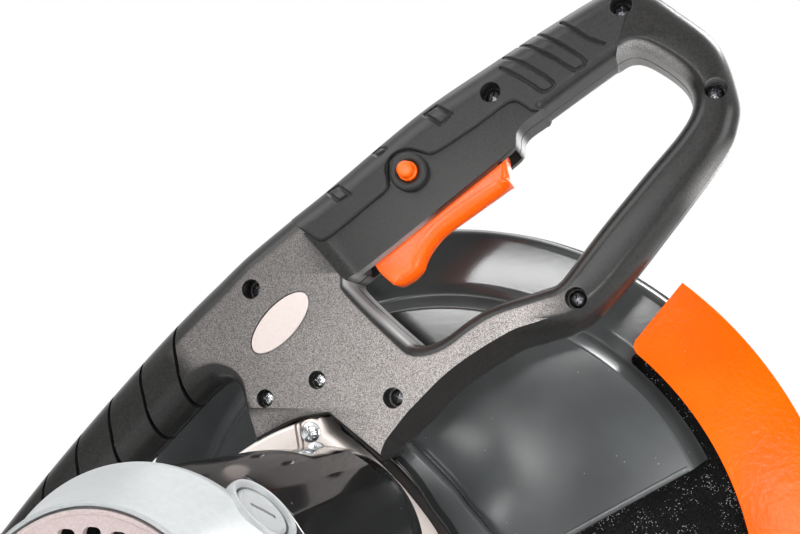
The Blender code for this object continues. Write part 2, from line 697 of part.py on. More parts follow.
def build_rotor(axis):
    mesh_angle = MOTOR_ANGLE + 180 + 180 / PINION_TEETH
    root = MODULE * (PINION_TEETH / 2 - DEDENDUM) - 0.0005
    shaft = turned("rotor_shaft", [(0, GEAR_END + 0.001), (root, GEAR_END + 0.001), (root, GEAR_NEAR),
                                   (SHAFT_RADIUS, GEAR_NEAR), (SHAFT_RADIUS, HOUSING_END + 0.006),
                                   (SHAFT_TAIL, HOUSING_END + 0.006), (SHAFT_TAIL, HOUSING_END - 0.011),
                                   (0, HOUSING_END - 0.011)], around(*MOTOR), STEEL, 20)
    teeth = slab("pinion_teeth", [shifted(gear_outline(PINION_TEETH, mesh_angle), *MOTOR)], GEAR_NEAR,
                 GEAR_END)
    join(shaft, teeth)
    core_wall = ARMATURE_RADIUS
    wound = ARMATURE_RADIUS * 0.8
    armature = turned("armature", [(wound, CORE_FAR + 0.012), (core_wall, CORE_FAR), (core_wall, CORE_NEAR),
                                   (wound, CORE_NEAR - 0.012), (SHAFT_RADIUS + GAP, CORE_NEAR - 0.012),
                                   (SHAFT_RADIUS + GAP, CORE_FAR + 0.012)], around(*MOTOR), COPPER, 24)
    half = COMMUTATOR_LONG / 2
    commutator = turned("commutator", ring_profile(SHAFT_RADIUS + GAP, COMMUTATOR_RADIUS, BRUSH_PLACE - half,
                                                   BRUSH_PLACE + half), around(*MOTOR), COPPER, 24)
    fan_near = CASE_END - FAN_BACK
    fan = turned("cooling_fan", ring_profile(SHAFT_RADIUS + GAP, FAN_RADIUS, fan_near, fan_near + FAN_DISC),
                 around(*MOTOR), GLOSS_BLACK, 30)
    vanes = []
    for number in range(FAN_VANES):
        first = 360 / FAN_VANES * number
        vane = [polar(MOTOR, FAN_HUB, first), polar(MOTOR, FAN_RADIUS - 0.001, first + 14),
                polar(MOTOR, FAN_RADIUS - 0.001, first + 17), polar(MOTOR, FAN_HUB, first + 9)]
        vanes.append(slab(f"fan_vane_{number}", [vane], fan_near + FAN_DISC * 0.8, fan_near + FAN_DEEP))
    join(fan, *vanes)
    hang(axis, shaft, armature, commutator, fan)


def build_bearings(axis):
    def bearing(name, centre, bore, outer, near, far):
        return turned(name, ring_profile(bore + GAP, outer, near, far), around(*centre), STEEL, 20)

    rear_end = HOUSING_END - ROTOR_REAR_LONG
    hang(axis,
         bearing("spindle_bearing_front", (0, 0), SPINDLE_RADIUS, *SPINDLE_FRONT),
         bearing("spindle_bearing_rear", (0, 0), TAIL_RADIUS, *SPINDLE_REAR),
         bearing("rotor_bearing_front", MOTOR, SHAFT_RADIUS, *ROTOR_FRONT),
         bearing("rotor_bearing_rear", MOTOR, SHAFT_TAIL, ROTOR_REAR, rear_end, HOUSING_END))


def build_gear_case(axis):
    boss_hole = rod("ring_spindle_hole", (0, -0.07, 0), (0, -0.03, 0), SPINDLE_RADIUS + RUN, None, 20)
    ring = slab("ring_plate", [RING], RING_END, BOSS_FACE - GAP, GLOSS_BLACK)
    seat = rod("rotor_front_seat", (MOTOR_X, RING_END - 0.01, MOTOR_Z),
               (MOTOR_X, ROTOR_FRONT[2] + GAP, MOTOR_Z), ROTOR_FRONT[0] + GAP, None, 24)
    pinion_hole = rod("rotor_front_hole", (MOTOR_X, -0.07, MOTOR_Z), (MOTOR_X, -0.03, MOTOR_Z),
                      SHAFT_RADIUS + RUN, None, 20)
    cut(ring, boss_hole, seat, pinion_hole)
    case = slab("gear_case", [CASE], CASE_END, RING_END - GAP, ALUMINIUM, rounded=0.003)
    tab = slab("handle_tab", [TAB], TAB_NEAR, TAB_FAR)
    tail_seat = rod("spindle_rear_seat", (0, SPINDLE_REAR[1] - GAP * 2, 0), (0, RING_END + 0.01, 0),
                    SPINDLE_REAR[0] + GAP, None, 24)
    shaft_hole = rod("case_shaft_hole", (MOTOR_X, CASE_END - 0.01, MOTOR_Z), (MOTOR_X, -0.03, MOTOR_Z),
                     SHAFT_RADIUS + RUN, None, 20)
    pocket = rod("case_pocket", (MOTOR_X, CASE_END - 0.01, MOTOR_Z), (MOTOR_X, CASE_POCKET, MOTOR_Z),
                 CASE_POCKET_RADIUS, None, 28)
    holes = [rod(f"tab_hole_{i}", around(x, z, -0.09), around(x, z, -0.05), TAB_THREAD, None, 10)
             for i, (x, z) in enumerate(TAB_BOLTS)]
    join(case, tab)
    cut(case, tail_seat, shaft_hole, pocket, *holes)
    hang(axis, ring, case)


def build_fixed_guard(axis):
    corner = 0.004
    profile = [(0.010, PLATEAU_FACE), (PLATEAU_RADIUS, PLATEAU_FACE),
               (STEP_RADIUS, RIM_FACE - 0.002), (STEP_RADIUS + 0.006, RIM_FACE),
               (GUARD_RADIUS - corner, RIM_FACE), (GUARD_RADIUS - 0.001, RIM_FACE + 0.001),
               (GUARD_RADIUS, RIM_FACE + corner), (GUARD_RADIUS, FAR_COVER - 0.012),
               (FLANGE_EDGE_RADIUS, FAR_COVER - 0.009), (FLANGE_EDGE_RADIUS, FAR_COVER - GAP)]
    wall = turned("fixed_guard", profile, (0, 0, 0), GUARD_PAINT, 46, wall=SHEET)
    boss = slab("guard_boss", [BOSS_LINE], BOSS_FACE, PLATEAU_FACE + SHEET - 0.0005)
    room = slab("guard_boss_room", [inset(BOSS_LINE, SHEET)], BOSS_FACE + SHEET, 0.0)
    under = slab("guard_lower_cut", [below_edge(HUB_COVER_RADIUS)], -0.06, 0.06)
    spindle_hole = rod("boss_spindle_hole", (0, -0.08, 0), (0, -0.04, 0), SPINDLE_RADIUS + RUN, None, 20)
    shaft_hole = rod("boss_shaft_hole", (MOTOR_X, -0.08, MOTOR_Z), (MOTOR_X, -0.04, MOTOR_Z),
                     SHAFT_RADIUS + RUN, None, 20)
    cut(wall, under)
    join(wall, boss)
    slot_middle = STEP_RADIUS + GUARD_SLOT / 2
    end_turn = GUARD_SLOT_ENDS[1]
    slot_line = (arc((0, 0), STEP_RADIUS, *GUARD_SLOT_ENDS, 10)
                 + arc(polar((0, 0), slot_middle, end_turn), GUARD_SLOT / 2, end_turn + 180, end_turn, 6)[1:-1]
                 + arc((0, 0), STEP_RADIUS + GUARD_SLOT, *GUARD_SLOT_ENDS[::-1], 10))
    slot = slab("guard_slot", [slot_line], RIM_FACE - 0.006, RIM_FACE + 0.006)
    cut(wall, room, spindle_hole, shaft_hole, slot)

    seat_radius, seat_near, seat_far = SPINDLE_FRONT
    retainer = slab("bearing_retainer", [inset(BOSS_LINE, -RETAINER_OVERLAP)], PLATEAU_FACE + SHEET + GAP,
                    seat_near + GAP, ALUMINIUM)
    housing = turned("retainer_housing", ring_profile(SPINDLE_RADIUS + RUN, seat_radius + RETAINER_WALL,
                                                      seat_near - RETAINER_LIP, seat_far + GAP), (0, 0, 0))
    opening = rod("retainer_seat", (0, seat_near - GAP, 0), (0, 0.0, 0), seat_radius + GAP, None, 24)
    through = rod("retainer_hole", (0, -0.06, 0), (0, 0.0, 0), SPINDLE_RADIUS + RUN, None, 24)
    relief = rod("retainer_pinion_relief", (MOTOR_X, -0.06, MOTOR_Z), (MOTOR_X, 0.0, MOTOR_Z), PINION_ROOM,
                 None, 20)
    join(retainer, housing)
    cut(retainer, opening, through, relief)

    cover = turned("guard_side_cover", [(HUB_BOSS_HOLE, HUB_BOSS_OUT), (HUB_BOSS_RADIUS, HUB_BOSS_OUT),
                                        (HUB_BOSS_RADIUS, FAR_COVER + SHEET),
                                        (FLANGE_EDGE_RADIUS - 0.0005, FAR_COVER + SHEET),
                                        (FLANGE_EDGE_RADIUS - 0.0005, FAR_COVER), (HUB_BOSS_HOLE, FAR_COVER)],
                   (0, 0, 0), GUARD_PAINT, 46)
    cover_cut = slab("cover_lower_cut", [below_edge(HUB_COVER_RADIUS)], 0.0, 0.08)
    cut(cover, cover_cut)
    hang(axis, wall, retainer, cover)


def build_swing_guard(axis):
    corner = 0.004
    start = -SWING_TOP
    sweep = SWING_TOP - SWING_BOTTOM
    profile = [(SWING_INNER, SWING_FACE), (SWING_OUTER - corner, SWING_FACE),
               (SWING_OUTER - 0.001, SWING_FACE + 0.001), (SWING_OUTER, SWING_FACE + corner),
               (SWING_OUTER, SWING_FAR - 0.001), (SWING_OUTER - 0.001, SWING_FAR),
               (HUB_BOSS_RADIUS + GAP + 0.004, SWING_FAR)]
    guard = turned("swing_guard", profile, (0, 0, 0), ORANGE_PAINT, 20, sweep=sweep, start=start,
                   wall=SWING_SHEET)
    hub = turned("swing_hub", ring_profile(HUB_BOSS_RADIUS + GAP, HUB_BOSS_RADIUS + HUB_RING,
                                           SWING_FAR - SWING_SHEET, HUB_BOSS_OUT), (0, 0, 0), None, 32)
    join(guard, hub)
    hang(axis, guard)


def build_guard_retainer(axis):
    near = HUB_BOSS_OUT + GAP
    ring = turned("guard_retainer", ring_profile(HUB_BOSS_HOLE, HUB_BOSS_RADIUS + HUB_CATCH, near,
                                                 near + HUB_CATCH_THICK), (0, 0, 0), STEEL, 32)
    hang(axis, ring)


def build_motor(axis):
    inner = MOTOR_RADIUS - MOTOR_WALL
    rear = HOUSING_END
    hub = ROTOR_REAR + GAP
    hub_end = rear - ROTOR_REAR_LONG - RUN
    front = CASE_END - GAP
    shaft_hole = SHAFT_RADIUS + RUN
    floor = rear + HOUSING_FLOOR
    housing = turned("motor_housing", [(MOTOR_RADIUS, front), (MOTOR_RADIUS, rear),
                                       (hub + BEARING_WALL, rear), (hub + BEARING_WALL, hub_end),
                                       (hub, hub_end), (hub, rear + GAP), (shaft_hole, rear + GAP),
                                       (shaft_hole, floor), (inner, floor), (inner, front)],
                     around(*MOTOR), GLOSS_BLACK, 32)
    hump_line = (arc(MOTOR, HUMP_RADIUS, *HUMP_ANGLES, 6)
                 + arc(MOTOR, MOTOR_RADIUS - MOTOR_WALL / 2, *HUMP_ANGLES[::-1], 6))
    hump = slab("motor_hump", [hump_line], *HUMP_ENDS)
    tubes, bores = [], []
    for name, angle in BRUSHES:
        inner_end = polar(MOTOR, COMMUTATOR_RADIUS + 0.004, angle)
        outer_end = polar(MOTOR, HUMP_RADIUS + 0.002, angle)
        beyond = polar(MOTOR, HUMP_RADIUS + 0.02, angle)
        deep = polar(MOTOR, COMMUTATOR_RADIUS - 0.002, angle)
        tubes.append(rod(f"brush_tube_{name}", around(*inner_end, BRUSH_PLACE),
                         around(*outer_end, BRUSH_PLACE), BRUSH_BORE + BRUSH_WALL, None, 16))
        bores.append(rod(f"brush_bore_{name}", around(*deep, BRUSH_PLACE), around(*beyond, BRUSH_PLACE),
                         BRUSH_BORE, None, 16))
    join(housing, hump, *tubes)
    cut(housing, *bores)

    stator_outer = inner - GAP
    winding_near, winding_far = CORE_NEAR - WINDING_LONG, CORE_FAR + WINDING_LONG
    bore = ARMATURE_RADIUS + RUN
    stator = turned("stator", [(stator_outer, CORE_FAR), (stator_outer, CORE_NEAR),
                               (WINDING[1], winding_near), (WINDING[0], winding_near), (bore, CORE_NEAR),
                               (bore, CORE_FAR), (WINDING[0], winding_far), (WINDING[1], winding_far)],
                    around(*MOTOR), COPPER, 24)
    cap_front = rear - GAP
    recess = CAP_END + 0.0030
    cap = turned("motor_end_cap", [(0.0560, cap_front), (CAP_RADIUS, rear - 0.0012),
                                   (CAP_RADIUS, rear - 0.0050), (0.0560, rear - 0.0115),
                                   (0.0535, rear - 0.0185), (0.0500, rear - 0.0250),
                                   (0.0485, CAP_END + 0.0004), (VENT_RADIUS + GAP, CAP_END),
                                   (VENT_RADIUS + GAP, recess), (0.0420, recess), (0.0420, recess + 0.003),
                                   (0.0470, recess + 0.003), (0.0510, rear - 0.0170), (0.0530, rear - 0.0110),
                                   (0.0535, rear - 0.005), (0.0510, rear - 0.002), (0.0490, cap_front)],
                 around(*MOTOR), PALE_PLASTIC, 32)
    plate = turned("vent_plate", [(VENT_RADIUS, recess - GAP), (VENT_RADIUS, CAP_END + 0.0003),
                                  (VENT_RADIUS - 0.0008, CAP_END), (0, CAP_END), (0, recess - GAP)][::-1],
                   around(*MOTOR), PALE_PLASTIC, 32)
    slots = []
    for column in range(-VENT_COLUMNS, VENT_COLUMNS + 1):
        across = MOTOR_X + column * VENT_PITCH
        half = math.sqrt(VENT_REACH**2 - (column * VENT_PITCH)**2)
        low = (across - VENT_SLOT / 2, CAP_END - 0.01, MOTOR_Z - half)
        high = (across + VENT_SLOT / 2, CAP_END + 0.02, MOTOR_Z + half)
        slots.append(box(f"vent_slot_{column + VENT_COLUMNS}", low, high))
    cut(plate, *slots)
    hang(axis, housing, stator, cap, plate)

    for name, angle in BRUSHES:
        outward = Vector(around(math.cos(math.radians(angle)), math.sin(math.radians(angle))))
        wide = BRUSH_BORE - GAP
        tip = COMMUTATOR_RADIUS + GAP
        brush = turned(f"brush_{name}", [(0, BRUSH_END), (wide, BRUSH_END), (wide, tip), (0, tip)],
                       around(*MOTOR, BRUSH_PLACE), CARBON, 4, axis=outward)
        cap_start = BRUSH_END + GAP
        plug = turned(f"brush_cap_{name}", [(0, HUMP_RADIUS + 0.0005), (wide - 0.001, HUMP_RADIUS + 0.0005),
                                            (wide, HUMP_RADIUS - 0.0005), (wide, cap_start), (0, cap_start)],
                      around(*MOTOR, BRUSH_PLACE), PALE_PLASTIC, 16, axis=outward)
        hang(axis, brush, plug)


def arm_point(along, side, lowered=0.0):
    """A point given along the arm and to its side, from the pivot, with the head lowered by an angle."""
    lean = math.atan2(-PIVOT.z, -PIVOT.x) - lowered
    return Vector((along * math.cos(lean) - side * math.sin(lean),
                   along * math.sin(lean) + side * math.cos(lean)))


def build_arm(axis):
    foot = Vector((PIVOT.x, PIVOT.z))
    outline = [tuple(foot + arm_point(*place)) for place in ARM_OVER + ARM_UNDER[::-1]]
    arm = slab("head_arm", [outline], ARM_NEAR, PLATEAU_FACE - GAP, ALUMINIUM)
    room = slab("arm_boss_room", [inset(BOSS_LINE, -GAP * 2)], ARM_NEAR - CUT_PAST, 0.0)
    barrel = rod("arm_barrel", (PIVOT.x, BARREL_NEAR, PIVOT.z), (PIVOT.x, BARREL_FAR, PIVOT.z), BARREL_RADIUS,
                 None, 28)
    tip = Vector(polar(BEND, BEND_OUTER - TUBE_DEEP / 2, BEND_END))
    inside = tip + Vector(polar((0, 0), FOOT_REACH, BEND_END - 90))
    reach = (tip - foot).normalized()
    across = Vector((-reach.y, reach.x))
    strut_line = [(foot, STRUT_WIDE), (tip, STRUT_END), (inside, STRUT_TIP),
                  (inside, -STRUT_TIP), (tip, -STRUT_END), (foot, -STRUT_WIDE)]
    strut = slab("arm_strut", [[tuple(place + across * wide / 2) for place, wide in strut_line]], LUG_NEAR,
                 LUG_FAR)
    lock_lug = slab("arm_lock_lug", [[polar(foot, *place) for place in LOCK_LUG]], LUG_NEAR - 0.0005, LUG_FAR)
    bore = rod("arm_bore", (PIVOT.x, -0.12, PIVOT.z), (PIVOT.x, 0.06, PIVOT.z), PIVOT_SHAFT + GAP, None, 24)
    foot_hole = rod("arm_foot_hole", around(*tip, -0.12), around(*tip, 0.0), FOOT_BOLT + GAP, None, 12)
    cut(arm, room)
    join(arm, barrel, strut, lock_lug)
    cut(arm, bore, foot_hole)
    bolt = rod("handle_foot_bolt", around(*tip, HANDLE_NEAR - 0.001), around(*tip, HANDLE_FAR + 0.001),
               FOOT_BOLT, STEEL, 12)
    head = rod("handle_foot_bolt_head", around(*tip, HANDLE_NEAR - 0.005), around(*tip, HANDLE_NEAR - GAP),
               0.0065, None, 6)
    nut = rod("handle_foot_bolt_nut", around(*tip, HANDLE_FAR + GAP), around(*tip, HANDLE_FAR + 0.005),
              0.0065, None, 6)
    join(bolt, head, nut)
    hang(axis, arm, bolt)


def handle_outline():
    outer = arc(BEND, BEND_OUTER, BEND_END, BEND_START, 6)[:-1]
    inner = arc(BEND, BEND_OUTER - TUBE_DEEP, BEND_START, BEND_END, 5)
    start = polar(BEND, BEND_OUTER, BEND_START)
    return (outer + smooth([start, *HANDLE_TOP], 2) + smooth(HANDLE_FOOT, 1)
            + smooth([*HANDLE_LOW, inner[0]], 2)[:-1] + inner)


def hole_outline():
    return smooth([*HOLE_UNDER, *HOLE_OVER], 1, closed=True)


def screw_pillars(name):
    return [rod(f"{name}_pillar_{i}", around(x, z, HANDLE_NEAR + 0.002), around(x, z, HANDLE_FAR - 0.002),
                PILLAR, None, 10) for i, (x, z) in enumerate(HANDLE_SCREWS)]


def build_handle(axis):
    outline = handle_outline()
    hole = hole_outline()
    tip = polar(BEND, BEND_OUTER - TUBE_DEEP / 2, BEND_END)
    end_reach = polar(tip, 0.010, BEND_END + 90)
    hollow = inset(outline, HANDLE_WALL)
    wide = max(abs(v) for point in outline for v in point) + CUT_PAST
    grip_area = [*PANEL_EDGE, (0.0860, 0.2600), (0.1102, 0.2740), (0.1350, 0.2570), (0.1480, 0.2360),
                 (0.1900, 0.2300), (0.1700, 0.3300), (0.0600, 0.3300), (-0.0900, 0.2300)]
    end_slot = inset([polar(BEND, BEND_OUTER - TUBE_DEEP + HANDLE_WALL, BEND_END - 20),
                      polar(BEND, BEND_OUTER - HANDLE_WALL, BEND_END - 20),
                      polar(end_reach, TUBE_DEEP / 2 - HANDLE_WALL, BEND_END),
                      polar(end_reach, -TUBE_DEEP / 2 + HANDLE_WALL, BEND_END)], 0)
    shells = []
    for name, low, high in (("handle_shell_near", HANDLE_NEAR - CUT_PAST, PARTING - GAP / 2),
                            ("handle_shell_far", PARTING + GAP / 2, HANDLE_FAR + CUT_PAST)):
        shell = slab(name, [outline, hole], HANDLE_NEAR, HANDLE_FAR, SHELL_PLASTIC, rounded=HANDLE_ROUND)
        half = box(name + "_half", (-wide, low, -wide), (wide, high, wide))
        room = slab(name + "_room", [hollow, inset(hole, -HANDLE_WALL)], HANDLE_NEAR + HANDLE_SKIN,
                    HANDLE_FAR - HANDLE_SKIN)
        cut(room, *screw_pillars(name))
        keep(shell, half)
        cut(shell, room)
        shells.append(shell)
    near, far = shells
    recesses = [rod(f"screw_recess_{i}", around(x, z, HANDLE_NEAR - 0.01),
                    around(x, z, HANDLE_NEAR + RECESS_DEEP), RECESS, None, 14)
                for i, (x, z) in enumerate(HANDLE_SCREWS)]
    bolt_holes = [rod(f"bolt_recess_{i}", around(x, z, HANDLE_NEAR - 0.01), around(x, z, PARTING + 0.03),
                      TAB_BOLT_HOLE, None, 14) for i, (x, z) in enumerate(TAB_BOLTS)]
    grip_cut = slab("grip_room", [inset(grip_area, -GAP)], HANDLE_NEAR - CUT_PAST,
                    HANDLE_FAR + CUT_PAST)
    tab_slot = slab("tab_slot", [inset(TAB, -GAP * 2)], TAB_NEAR - GAP, TAB_FAR + GAP)
    lug_slot = slab("lug_slot", [end_slot], LUG_NEAR - GAP, LUG_FAR + GAP)
    trigger_slot = slab("trigger_slot", [TRIGGER_ROOM], TRIGGER_NEAR - GAP, TRIGGER_FAR + GAP)
    pin_hole = rod("trigger_pin_hole", around(*TRIGGER_PIVOT, HANDLE_NEAR + PIN_SKIN),
                   around(*TRIGGER_PIVOT, HANDLE_FAR - PIN_SKIN), TRIGGER_PIN + GAP, None, 14)
    foot_hole = rod("foot_hole", around(*tip, HANDLE_NEAR - CUT_PAST), around(*tip, HANDLE_FAR + CUT_PAST),
                    FOOT_BOLT + GAP, None, 12)
    inlet_seat = inlet_rod("inlet_hole", -0.006, 0.02, INLET_RADIUS + GAP, None)
    for shell in shells:
        cut(shell, grip_cut, tab_slot, lug_slot, trigger_slot, pin_hole, foot_hole, inlet_seat)
    button_hole = rod("button_hole", around(*BUTTON, HANDLE_NEAR - 0.01), around(*BUTTON, PARTING - 0.008),
                      BUTTON_RADIUS + GAP, None, 16)
    cut(near, *recesses, *bolt_holes, button_hole)
    cut(far, *bolt_holes)

    grip = slab("grip_overmould", [outline, hole], HANDLE_NEAR, HANDLE_FAR, SOFT_GRIP, rounded=HANDLE_ROUND)
    area = slab("grip_area", [grip_area], HANDLE_NEAR - CUT_PAST, HANDLE_FAR + CUT_PAST)
    grip_room = slab("grip_hollow", [hollow, inset(hole, -HANDLE_WALL)], HANDLE_NEAR + HANDLE_SKIN,
                     HANDLE_FAR - HANDLE_SKIN)
    cut(grip_room, *screw_pillars("grip"))
    keep(grip, area)
    cut(grip, grip_room, *recesses)
    hang(axis, near, far, grip)


def inlet_rod(name, inner, outer, radius, coat):
    """A cylinder across the bend's inner wall, where the supply cord would enter."""
    outward = Vector(polar((0, 0), -1, INLET_ANGLE))
    wall = Vector(polar(BEND, BEND_OUTER - TUBE_DEEP, INLET_ANGLE))
    start = wall + outward * inner
    end = wall + outward * outer
    return rod(name, around(*start, PARTING), around(*end, PARTING), radius, coat, 16)


def build_handle_fittings(axis):
    hole = BUTTON_RADIUS + COLLAR_ROOM
    rise = HANDLE_NEAR - COLLAR_THICK
    collar = turned("button_collar", [(COLLAR_RADIUS, HANDLE_NEAR - GAP), (COLLAR_RADIUS - COLLAR_ROOM, rise),
                                      (hole + COLLAR_ROOM, rise), (hole, rise + COLLAR_ROOM),
                                      (hole, HANDLE_NEAR - GAP)], around(*BUTTON), SHELL_PLASTIC, 20)
    badge_line = [(BADGE_LONG / 2 * math.cos(t * math.pi / 14), BADGE_WIDE / 2 * math.sin(t * math.pi / 14))
                  for t in range(28)]
    lean = BADGE_LEAN
    badge_line = [(BADGE[0] + x * math.cos(lean) - z * math.sin(lean),
                   BADGE[1] + x * math.sin(lean) + z * math.cos(lean)) for x, z in badge_line]
    badge_back = HANDLE_NEAR - GAP
    badge = slab("badge_plate", [badge_line], badge_back - BADGE_THICK, badge_back, PALE_PLASTIC)
    switch = box("switch_body", (-SWITCH_LONG / 2, HANDLE_NEAR + HANDLE_SKIN + GAP, -SWITCH_DEEP / 2),
                 (SWITCH_LONG / 2, HANDLE_FAR - HANDLE_SKIN - GAP, SWITCH_DEEP / 2), GLOSS_BLACK)
    switch.data.transform(Matrix.Translation(around(*SWITCH)) @ Matrix.Rotation(-GRIP_LEAN, 4, "Y"))
    inlet = inlet_rod("cord_inlet", -0.0055, INLET_LONG, INLET_RADIUS, RUBBER)
    collar_ring = inlet_rod("cord_inlet_collar", 0.0012, INLET_LONG, INLET_COLLAR, None)
    bore = inlet_rod("cord_inlet_bore", -0.02, 0.03, CORD_RADIUS, None)
    join(inlet, collar_ring)
    cut(inlet, bore)
    hang(axis, collar, badge, switch, inlet)


def build_trigger(axis):
    trigger = slab("trigger", [smooth([*TRIGGER_FACE], 1) + TRIGGER_BACK], TRIGGER_NEAR, TRIGGER_FAR,
                   ORANGE_PLASTIC, rounded=0.0015)
    pin = rod("trigger_pin", around(*TRIGGER_PIVOT, HANDLE_NEAR + PIN_SKIN + GAP),
              around(*TRIGGER_PIVOT, HANDLE_FAR - PIN_SKIN - GAP), TRIGGER_PIN, None, 14)
    join(trigger, pin)
    hang(axis, trigger)


def build_button(axis):
    inner, outer = PARTING - BUTTON_OUT, HANDLE_NEAR - BUTTON_OUT
    button = turned("lock_off_button", [(0, inner), (BUTTON_RADIUS, inner), (BUTTON_RADIUS, outer + 0.0025),
                                        (BUTTON_RADIUS - 0.0009, outer), (0, outer)], around(*BUTTON),
                    ORANGE_PLASTIC, 20)
    hang(axis, button)


def rounded_box_line(x0, y0, x1, y1, radius, steps=4):
    return (arc((x1 - radius, y0 + radius), radius, -90, 0, steps)
            + arc((x1 - radius, y1 - radius), radius, 0, 90, steps)
            + arc((x0 + radius, y1 - radius), radius, 90, 180, steps)
            + arc((x0 + radius, y0 + radius), radius, 180, 270, steps))


def build_base():
    rear, front = PIVOT.x + BASE_REAR, PIVOT.x + BASE_FRONT
    top = FLOOR + TABLE
    outline = rounded_box_line(rear, BASE_NEAR, front, BASE_FAR, CORNER)
    base = slab("base_frame", [outline], FLOOR + SKIRT_FOOT, top, BASE_PAINT, plane="XY")
    room = slab("base_room", [inset(outline, BASE_WALL)], FLOOR, top - BASE_WALL, plane="XY")
    spots = [(rear + FOOT_INSET, BASE_NEAR + FOOT_INSET), (front - FOOT_INSET, BASE_NEAR + FOOT_INSET),
             (rear + FOOT_INSET, BASE_FAR - FOOT_INSET), (front - FOOT_INSET, BASE_FAR - FOOT_INSET)]
    stem_top = FOOT_HEIGHT + FOOT_STEM_LONG
    posts = [rod(f"foot_post_{i}", (x, y, FLOOR + FOOT_HEIGHT + GAP), (x, y, top - BASE_WALL / 2),
                 FOOT_RADIUS, None, 16) for i, (x, y) in enumerate(spots)]
    stems = [rod(f"foot_stem_hole_{i}", (x, y, FLOOR), (x, y, FLOOR + stem_top + RUN), FOOT_STEM + GAP,
                 None, 12) for i, (x, y) in enumerate(spots)]
    slot = box("wheel_slot", (PIVOT.x + SLOT_REAR, -SLOT_HALF, FLOOR),
               (PIVOT.x + SLOT_FRONT, SLOT_HALF, top + 0.02))
    swing_centre = (PIVOT.x + FENCE_FACE - FENCE_BOLT_BACK, FENCE_BOLT)
    reach = STUD_RADIUS + RUN
    swing_slot = (arc(swing_centre, FENCE_CLAMP + reach, -88, -92 - FENCE_SWING, 8)
                  + arc(swing_centre, FENCE_CLAMP - reach, -92 - FENCE_SWING, -88, 8))
    arc_slot = slab("fence_slot", [swing_slot], FLOOR + 0.03, top + 0.02, plane="XY")
    slot_ends = [rod(f"fence_slot_end_{i}", (*polar(swing_centre, FENCE_CLAMP, angle), FLOOR + 0.03),
                     (*polar(swing_centre, FENCE_CLAMP, angle), top + 0.02), reach, None, 16)
                 for i, angle in enumerate((-90, -90 - FENCE_SWING))]
    bolt_hole = rod("fence_bolt_hole", (*swing_centre, FLOOR + 0.03), (*swing_centre, top + 0.02),
                    STUD_RADIUS + GAP, None, 16)
    cut(base, room)
    join(base, *posts)
    cut(base, *stems, slot, arc_slot, *slot_ends, bolt_hole)
    hang(MACHINE, base)
    names = ("foot_rear_near", "foot_front_near", "foot_rear_far", "foot_front_far")
    for name, (x, y) in zip(names, spots):
        foot = turned(name, [(0, stem_top), (FOOT_STEM, stem_top), (FOOT_STEM, FOOT_HEIGHT),
                             (FOOT_RADIUS - 0.001, FOOT_HEIGHT), (FOOT_RADIUS, FOOT_HEIGHT - 0.001),
                             (FOOT_RADIUS - 0.002, 0), (0, 0)], (x, y, FLOOR), RUBBER, 16, axis=(0, 0, 1))
        hang(MACHINE, foot)

    bolt = stud("fence_pivot_bolt", swing_centre, GAP * 2, GAP)
    hang(MACHINE, bolt)
    return swing_centre


def stud(name, place, head_gap, nut_gap):
    """A bolt down through the fence's foot and the table, with its head above and its nut below."""
    seat = FLOOR + TABLE + GAP + FENCE_THICK
    under = FLOOR + TABLE - BASE_WALL - nut_gap
    bolt = rod(name, (*place, seat + head_gap), (*place, seat + STUD_HEAD_THICK), STUD_HEAD, STEEL, 6)
    shank = rod(name + "_shank", (*place, under - STUD_NUT_THICK), (*place, seat + STUD_HEAD_THICK / 2),
                STUD_RADIUS, None, 16)
    nut = rod(name + "_nut", (*place, under - STUD_NUT_THICK), (*place, under), STUD_HEAD, None, 6)
    return join(bolt, shank, nut)


